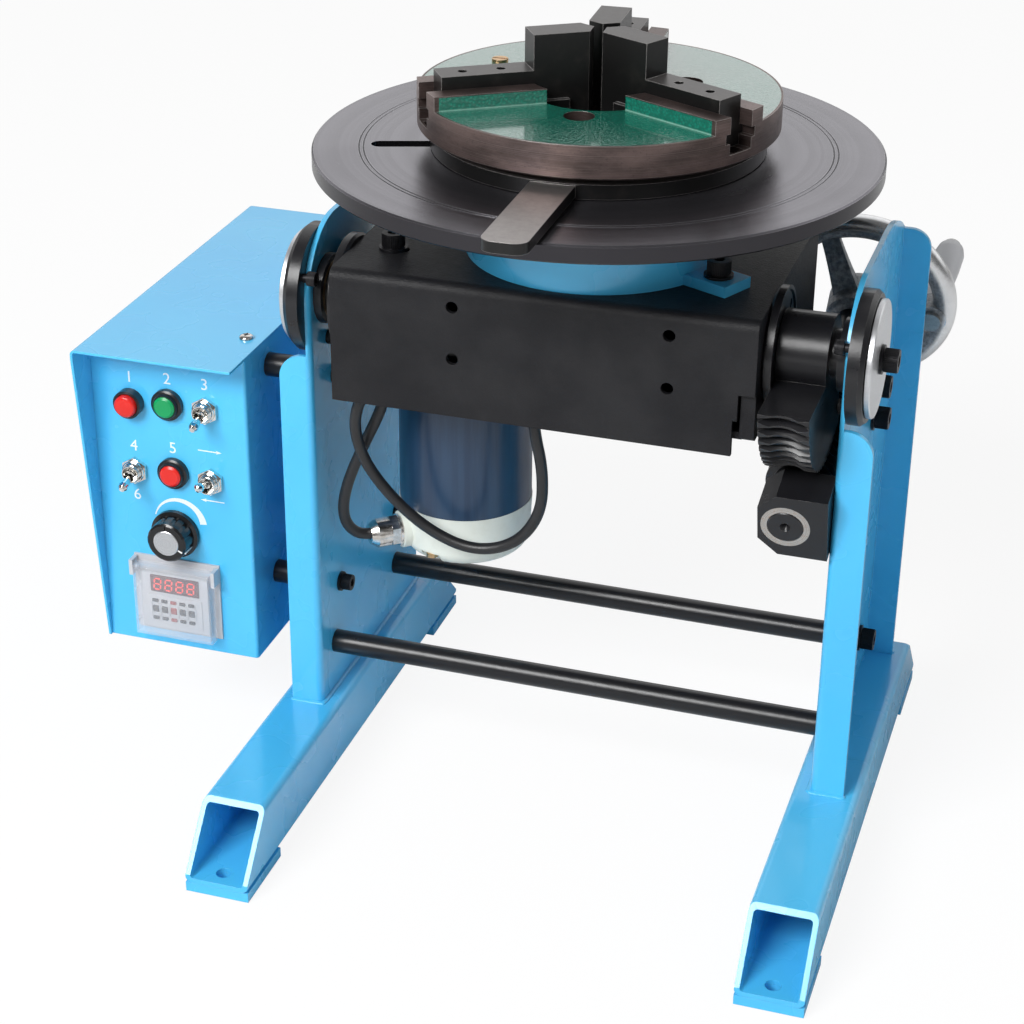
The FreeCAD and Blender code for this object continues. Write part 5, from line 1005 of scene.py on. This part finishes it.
def knurls(name, body, *nodes):
    """Ribs round the cap screws' heads, one mesh for each body."""
    sizes = bpy.context.scene.positioner_sizes
    heads = screw_heads(*nodes)
    mesh = bpy.data.meshes.new(name)
    mesh.from_pydata([head[0] for head in heads], [], [])
    axis = mesh.attributes.new("axis", "FLOAT_VECTOR", "POINT")
    girth = mesh.attributes.new("girth", "FLOAT_VECTOR", "POINT")
    for i, (_, along, radius, tall) in enumerate(heads):
        axis.data[i].vector = along
        girth.data[i].vector = (radius, radius, tall)
    g = Recipe(name + "_recipe", [("Ribs", "NodeSocketInt", sizes.knurl_ribs),
                                  ("Rib Share", "NodeSocketFloat", sizes.rib_share)])
    circle = g.node("GeometryNodeMeshCircle", {}, {"Vertices": g.given["Ribs"], "Radius": 1.0})
    rib = g.node("GeometryNodeMeshCylinder", {},
                 {"Vertices": 6, "Radius": g.given["Rib Share"], "Depth": 1.0})
    ring = g.node("GeometryNodeInstanceOnPoints", {}, {"Points": circle, "Instance": rib})
    turn = g.node("FunctionNodeAlignRotationToVector", {"axis": "Z"}, {"Vector": g.attribute("axis")})
    knurl = g.node("GeometryNodeInstanceOnPoints", {}, {"Points": g.given["Geometry"], "Instance": ring,
                                                        "Rotation": turn, "Scale": g.attribute("girth")})
    g.finished(knurl, finish("fastener_black"))
    made = g.cooked(name, linked(name, mesh), ribs=sizes.knurl_ribs, rib_share=sizes.rib_share)
    riding(made, body)


def welds():
    """Rippled fillet welds, painted over, where the uprights stand on the feet."""
    sizes = bpy.context.scene.positioner_sizes
    places, runs = [], []
    for node, side in (("upright_left", -1), ("upright_right", 1)):
        low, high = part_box(node)
        outer, web = (low.x, high.x) if side < 0 else (high.x, low.x)
        outer -= side * 0.001  # into the metal, where the flange bends
        start = len(places)
        places += [(outer, low.y, low.z), (web, low.y, low.z), (web, high.y, low.z), (outer, high.y, low.z)]
        runs += [(start, start + 1), (start + 1, start + 2), (start + 2, start + 3)]
    mesh = bpy.data.meshes.new("welds")
    mesh.from_pydata(places, runs, [])
    g = Recipe("welds_recipe", [("Width", "NodeSocketFloat", sizes.weld_width),
                                ("Pitch", "NodeSocketFloat", sizes.weld_pitch),
                                ("Seed", "NodeSocketInt", WELD_SEED)])
    path = g.node("GeometryNodeMeshToCurve", {}, {"Mesh": g.given["Geometry"]})
    beads = [g.node("GeometryNodeCurveToPoints", {"mode": "LENGTH"},
                    {"Curve": path, "Length": g.given["Pitch"]}, out=name)
             for name in ("Points", "Rotation")]
    half = g.given["Width"] * 0.5
    ripple = g.node("FunctionNodeRandomValue", {"data_type": "FLOAT"},
                    {2: 0.86, 3: 1.12, "Seed": g.given["Seed"]}, out=1)
    scale = g.node("ShaderNodeCombineXYZ", {}, {"X": half * ripple, "Y": half * ripple,
                                                "Z": g.given["Pitch"] * 0.85})
    bead = g.node("GeometryNodeMeshUVSphere", {}, {"Segments": 10, "Rings": 6, "Radius": 1.0})
    laid = g.node("GeometryNodeInstanceOnPoints", {}, {"Points": beads[0], "Instance": bead,
                                                       "Rotation": beads[1], "Scale": scale})
    g.finished(laid, finish("frame_blue"))
    made = g.cooked("welds", linked("welds", mesh), width=sizes.weld_width, pitch=sizes.weld_pitch,
                    seed=WELD_SEED)
    made.data.shade_smooth()
    riding(made, "stand")


# ---------------------------------------------------------------- light and camera
CAMERA_AT = Vector((0.3170, -1.1401, 0.7945))
CAMERA_YAW, CAMERA_PITCH, CAMERA_ROLL = 17.5 * DEG, -27.4 * DEG, 0.5 * DEG
LAMPS_AIM = Vector((0.0, 0.0, 0.2))
FLOOR_RADIUS, FLOOR_GLOW = 9.0, 0.90


def room():
    """White room: plain white to the camera and through glass, softer as light on the object."""
    studio = bpy.context.scene.positioner_studio
    world = bpy.data.worlds.new("room")
    bpy.context.scene.world = world
    world.use_nodes = True
    g = Graph(world.node_tree)
    g.tree.nodes.clear()
    path = {name: g.node("ShaderNodeLightPath", out=name)
            for name in ("Is Camera Ray", "Is Glossy Ray", "Is Transmission Ray")}
    view = g.node("ShaderNodeTexCoord", out="Generated")
    ahead, height = (g.node("ShaderNodeSeparateXYZ", {}, {"Vector": view}, out=name) for name in ("Y", "Z"))
    wall = g.ramp(ahead, 0.0, 0.6) * g.ramp(height, -0.05, 0.25)
    shine = studio.gloom + (studio.backdrop - studio.gloom) * wall
    strength = studio.sky + (shine - studio.sky) * path["Is Glossy Ray"]
    clear = g.node("ShaderNodeMath", {"operation": "MAXIMUM"},
                   {0: path["Is Camera Ray"], 1: path["Is Transmission Ray"]})
    strength = strength + (1.0 - strength) * clear
    light = g.node("ShaderNodeBackground", {}, {"Color": (1.0, 1.0, 1.0), "Strength": strength})
    leave = g.tree.nodes.new("ShaderNodeOutputWorld")
    g.tree.links.new(light.socket, leave.inputs["Surface"])


def floor():
    """Pale floor that whitens towards the camera but keeps the object's shadow."""
    studio = bpy.context.scene.positioner_studio
    bm = bmesh.new()
    bmesh.ops.create_circle(bm, cap_ends=True, segments=64, radius=FLOOR_RADIUS)
    mesh = bpy.data.meshes.new("floor")
    bm.to_mesh(mesh)
    bm.free()
    f = Finish("floor_paper")
    fibre = f.noise(300.0, 3.0)
    tone = f.mix(fibre, shade(studio.floor, 0.97), studio.floor)
    paper = f.node("ShaderNodeBsdfDiffuse", {}, {"Color": tone, "Roughness": 0.5})
    glow = f.node("ShaderNodeEmission", {}, {"Color": (1.0, 1.0, 1.0), "Strength": 1.0})
    ray = f.node("ShaderNodeLightPath", out="Is Camera Ray")
    f.shown(f.node("ShaderNodeMixShader", {}, {0: FLOOR_GLOW * ray, 1: paper, 2: glow}))
    mesh.materials.append(f.material)
    made = linked("floor", mesh)
    made.location.z = -0.0005


def lamp(name, place, size, power):
    light = bpy.data.lights.new(name, "AREA")
    light.shape = "RECTANGLE"
    light.size, light.size_y = size
    light.energy = power
    made = linked(name, light)
    made.location = place
    made.rotation_mode = "QUATERNION"
    made.rotation_quaternion = (LAMPS_AIM - Vector(place)).to_track_quat("-Z", "Y")


def camera():
    yaw, pitch, roll = CAMERA_YAW, CAMERA_PITCH, CAMERA_ROLL
    ahead = Vector((-math.sin(yaw) * math.cos(pitch), math.cos(yaw) * math.cos(pitch), math.sin(pitch)))
    level = Vector((math.cos(yaw), math.sin(yaw), 0.0))
    over = level.cross(ahead)
    right = level * math.cos(roll) + over * math.sin(roll)
    above = over * math.cos(roll) - level * math.sin(roll)
    lens = bpy.data.cameras.new("camera")
    lens.sensor_width = 36.0
    lens.lens = bpy.context.scene.positioner_studio.lens
    lens.clip_start, lens.clip_end = 0.05, 50.0
    made = linked("camera", lens)
    made.matrix_world = Matrix((right, above, -ahead)).transposed().to_4x4()
    made.location = CAMERA_AT
    bpy.context.scene.camera = made


# ---------------------------------------------------------------- operators
class POSITIONER_OT_stage(bpy.types.Operator):
    """Make the room, the floor, the lamps and the camera"""

    bl_idname = "positioner.stage"
    bl_label = "Stage"

    def execute(self, context):
        studio = context.scene.positioner_studio
        context.scene.view_settings.view_transform = "Standard"
        room()
        floor()
        lamp("key", (-0.9, -2.3, 2.1), (1.5, 1.2), studio.key)
        lamp("fill", (1.7, -1.4, 1.1), (1.2, 1.4), studio.fill)
        camera()
        return {"FINISHED"}


class POSITIONER_OT_frame_finishes(bpy.types.Operator):
    """Give every node of the frame its finish"""

    bl_idname = "positioner.frame_finishes"
    bl_label = "Frame finishes"

    def execute(self, context):
        coat_frame()
        return {"FINISHED"}


class POSITIONER_OT_cables(bpy.types.Operator):
    """Lay the motor's cable and the sensor's cable"""

    bl_idname = "positioner.cables"
    bl_label = "Cables"

    def execute(self, context):
        cable("motor_lead", "motor_cable", MOTOR_CABLE)
        cable("sensor_lead", "sensor_cable", SENSOR_CABLE)
        return {"FINISHED"}


class POSITIONER_OT_panel_marks(bpy.types.Operator):
    """Print the marks of the control panel"""

    bl_idname = "positioner.panel_marks"
    bl_label = "Panel marks"

    def execute(self, context):
        panel_marks()
        return {"FINISHED"}


class POSITIONER_OT_panel_fittings(bpy.types.Operator):
    """Dress the lamp, the buttons, the switches and the speed knob"""

    bl_idname = "positioner.panel_fittings"
    bl_label = "Panel fittings"

    def execute(self, context):
        panel_fittings()
        knob_fittings()
        return {"FINISHED"}


class POSITIONER_OT_timer_face(bpy.types.Operator):
    """Make the timer's display, plate and thumbwheels"""

    bl_idname = "positioner.timer_face"
    bl_label = "Timer face"

    def execute(self, context):
        timer_face()
        return {"FINISHED"}


class POSITIONER_OT_screws(bpy.types.Operator):
    """Knurl the cap screws' heads and set the lid's screw heads"""

    bl_idname = "positioner.screws"
    bl_label = "Screw heads"

    def execute(self, context):
        knurls("stand_knurls", "stand", "tie_bar_screws", "worm_block_screws", "pivot_screws", "case_screws")
        knurls("head_knurls", "tilt_head", "head_screws")
        lid_screw_heads()
        return {"FINISHED"}


class POSITIONER_OT_welds(bpy.types.Operator):
    """Lay the welds between the uprights and the feet"""

    bl_idname = "positioner.welds"
    bl_label = "Welds"

    def execute(self, context):
        welds()
        return {"FINISHED"}


PIECES = (POSITIONER_OT_stage, POSITIONER_OT_frame_finishes, POSITIONER_OT_cables, POSITIONER_OT_panel_marks,
          POSITIONER_OT_panel_fittings, POSITIONER_OT_timer_face, POSITIONER_OT_screws, POSITIONER_OT_welds)
GROUPS = {"positioner_colours": PositionerColours, "positioner_sizes": PositionerSizes,
          "positioner_studio": PositionerStudio}


class POSITIONER_PT_sidebar(bpy.types.Panel):
    """Lists the pieces and their settings"""

    bl_idname = "POSITIONER_PT_sidebar"
    bl_label = "Welding positioner"
    bl_space_type = "VIEW_3D"
    bl_region_type = "UI"
    bl_category = "Positioner"

    def draw(self, context):
        for piece in PIECES:
            self.layout.operator(piece.bl_idname)
        for name, group in GROUPS.items():
            box = self.layout.box()
            for prop in group.__annotations__:
                box.prop(getattr(context.scene, name), prop)


def register():
    for group in (*GROUPS.values(), *PIECES, POSITIONER_PT_sidebar):
        bpy.utils.register_class(group)
    for name, group in GROUPS.items():
        setattr(bpy.types.Scene, name, bpy.props.PointerProperty(type=group))


def unregister():
    for name in GROUPS:
        delattr(bpy.types.Scene, name)
    for group in reversed((*GROUPS.values(), *PIECES, POSITIONER_PT_sidebar)):
        bpy.utils.unregister_class(group)


def main():
    register()
    for piece in PIECES:
        family, _, name = piece.bl_idname.partition(".")
        getattr(getattr(bpy.ops, family), name)()


if __name__ == "__main__":
    main()
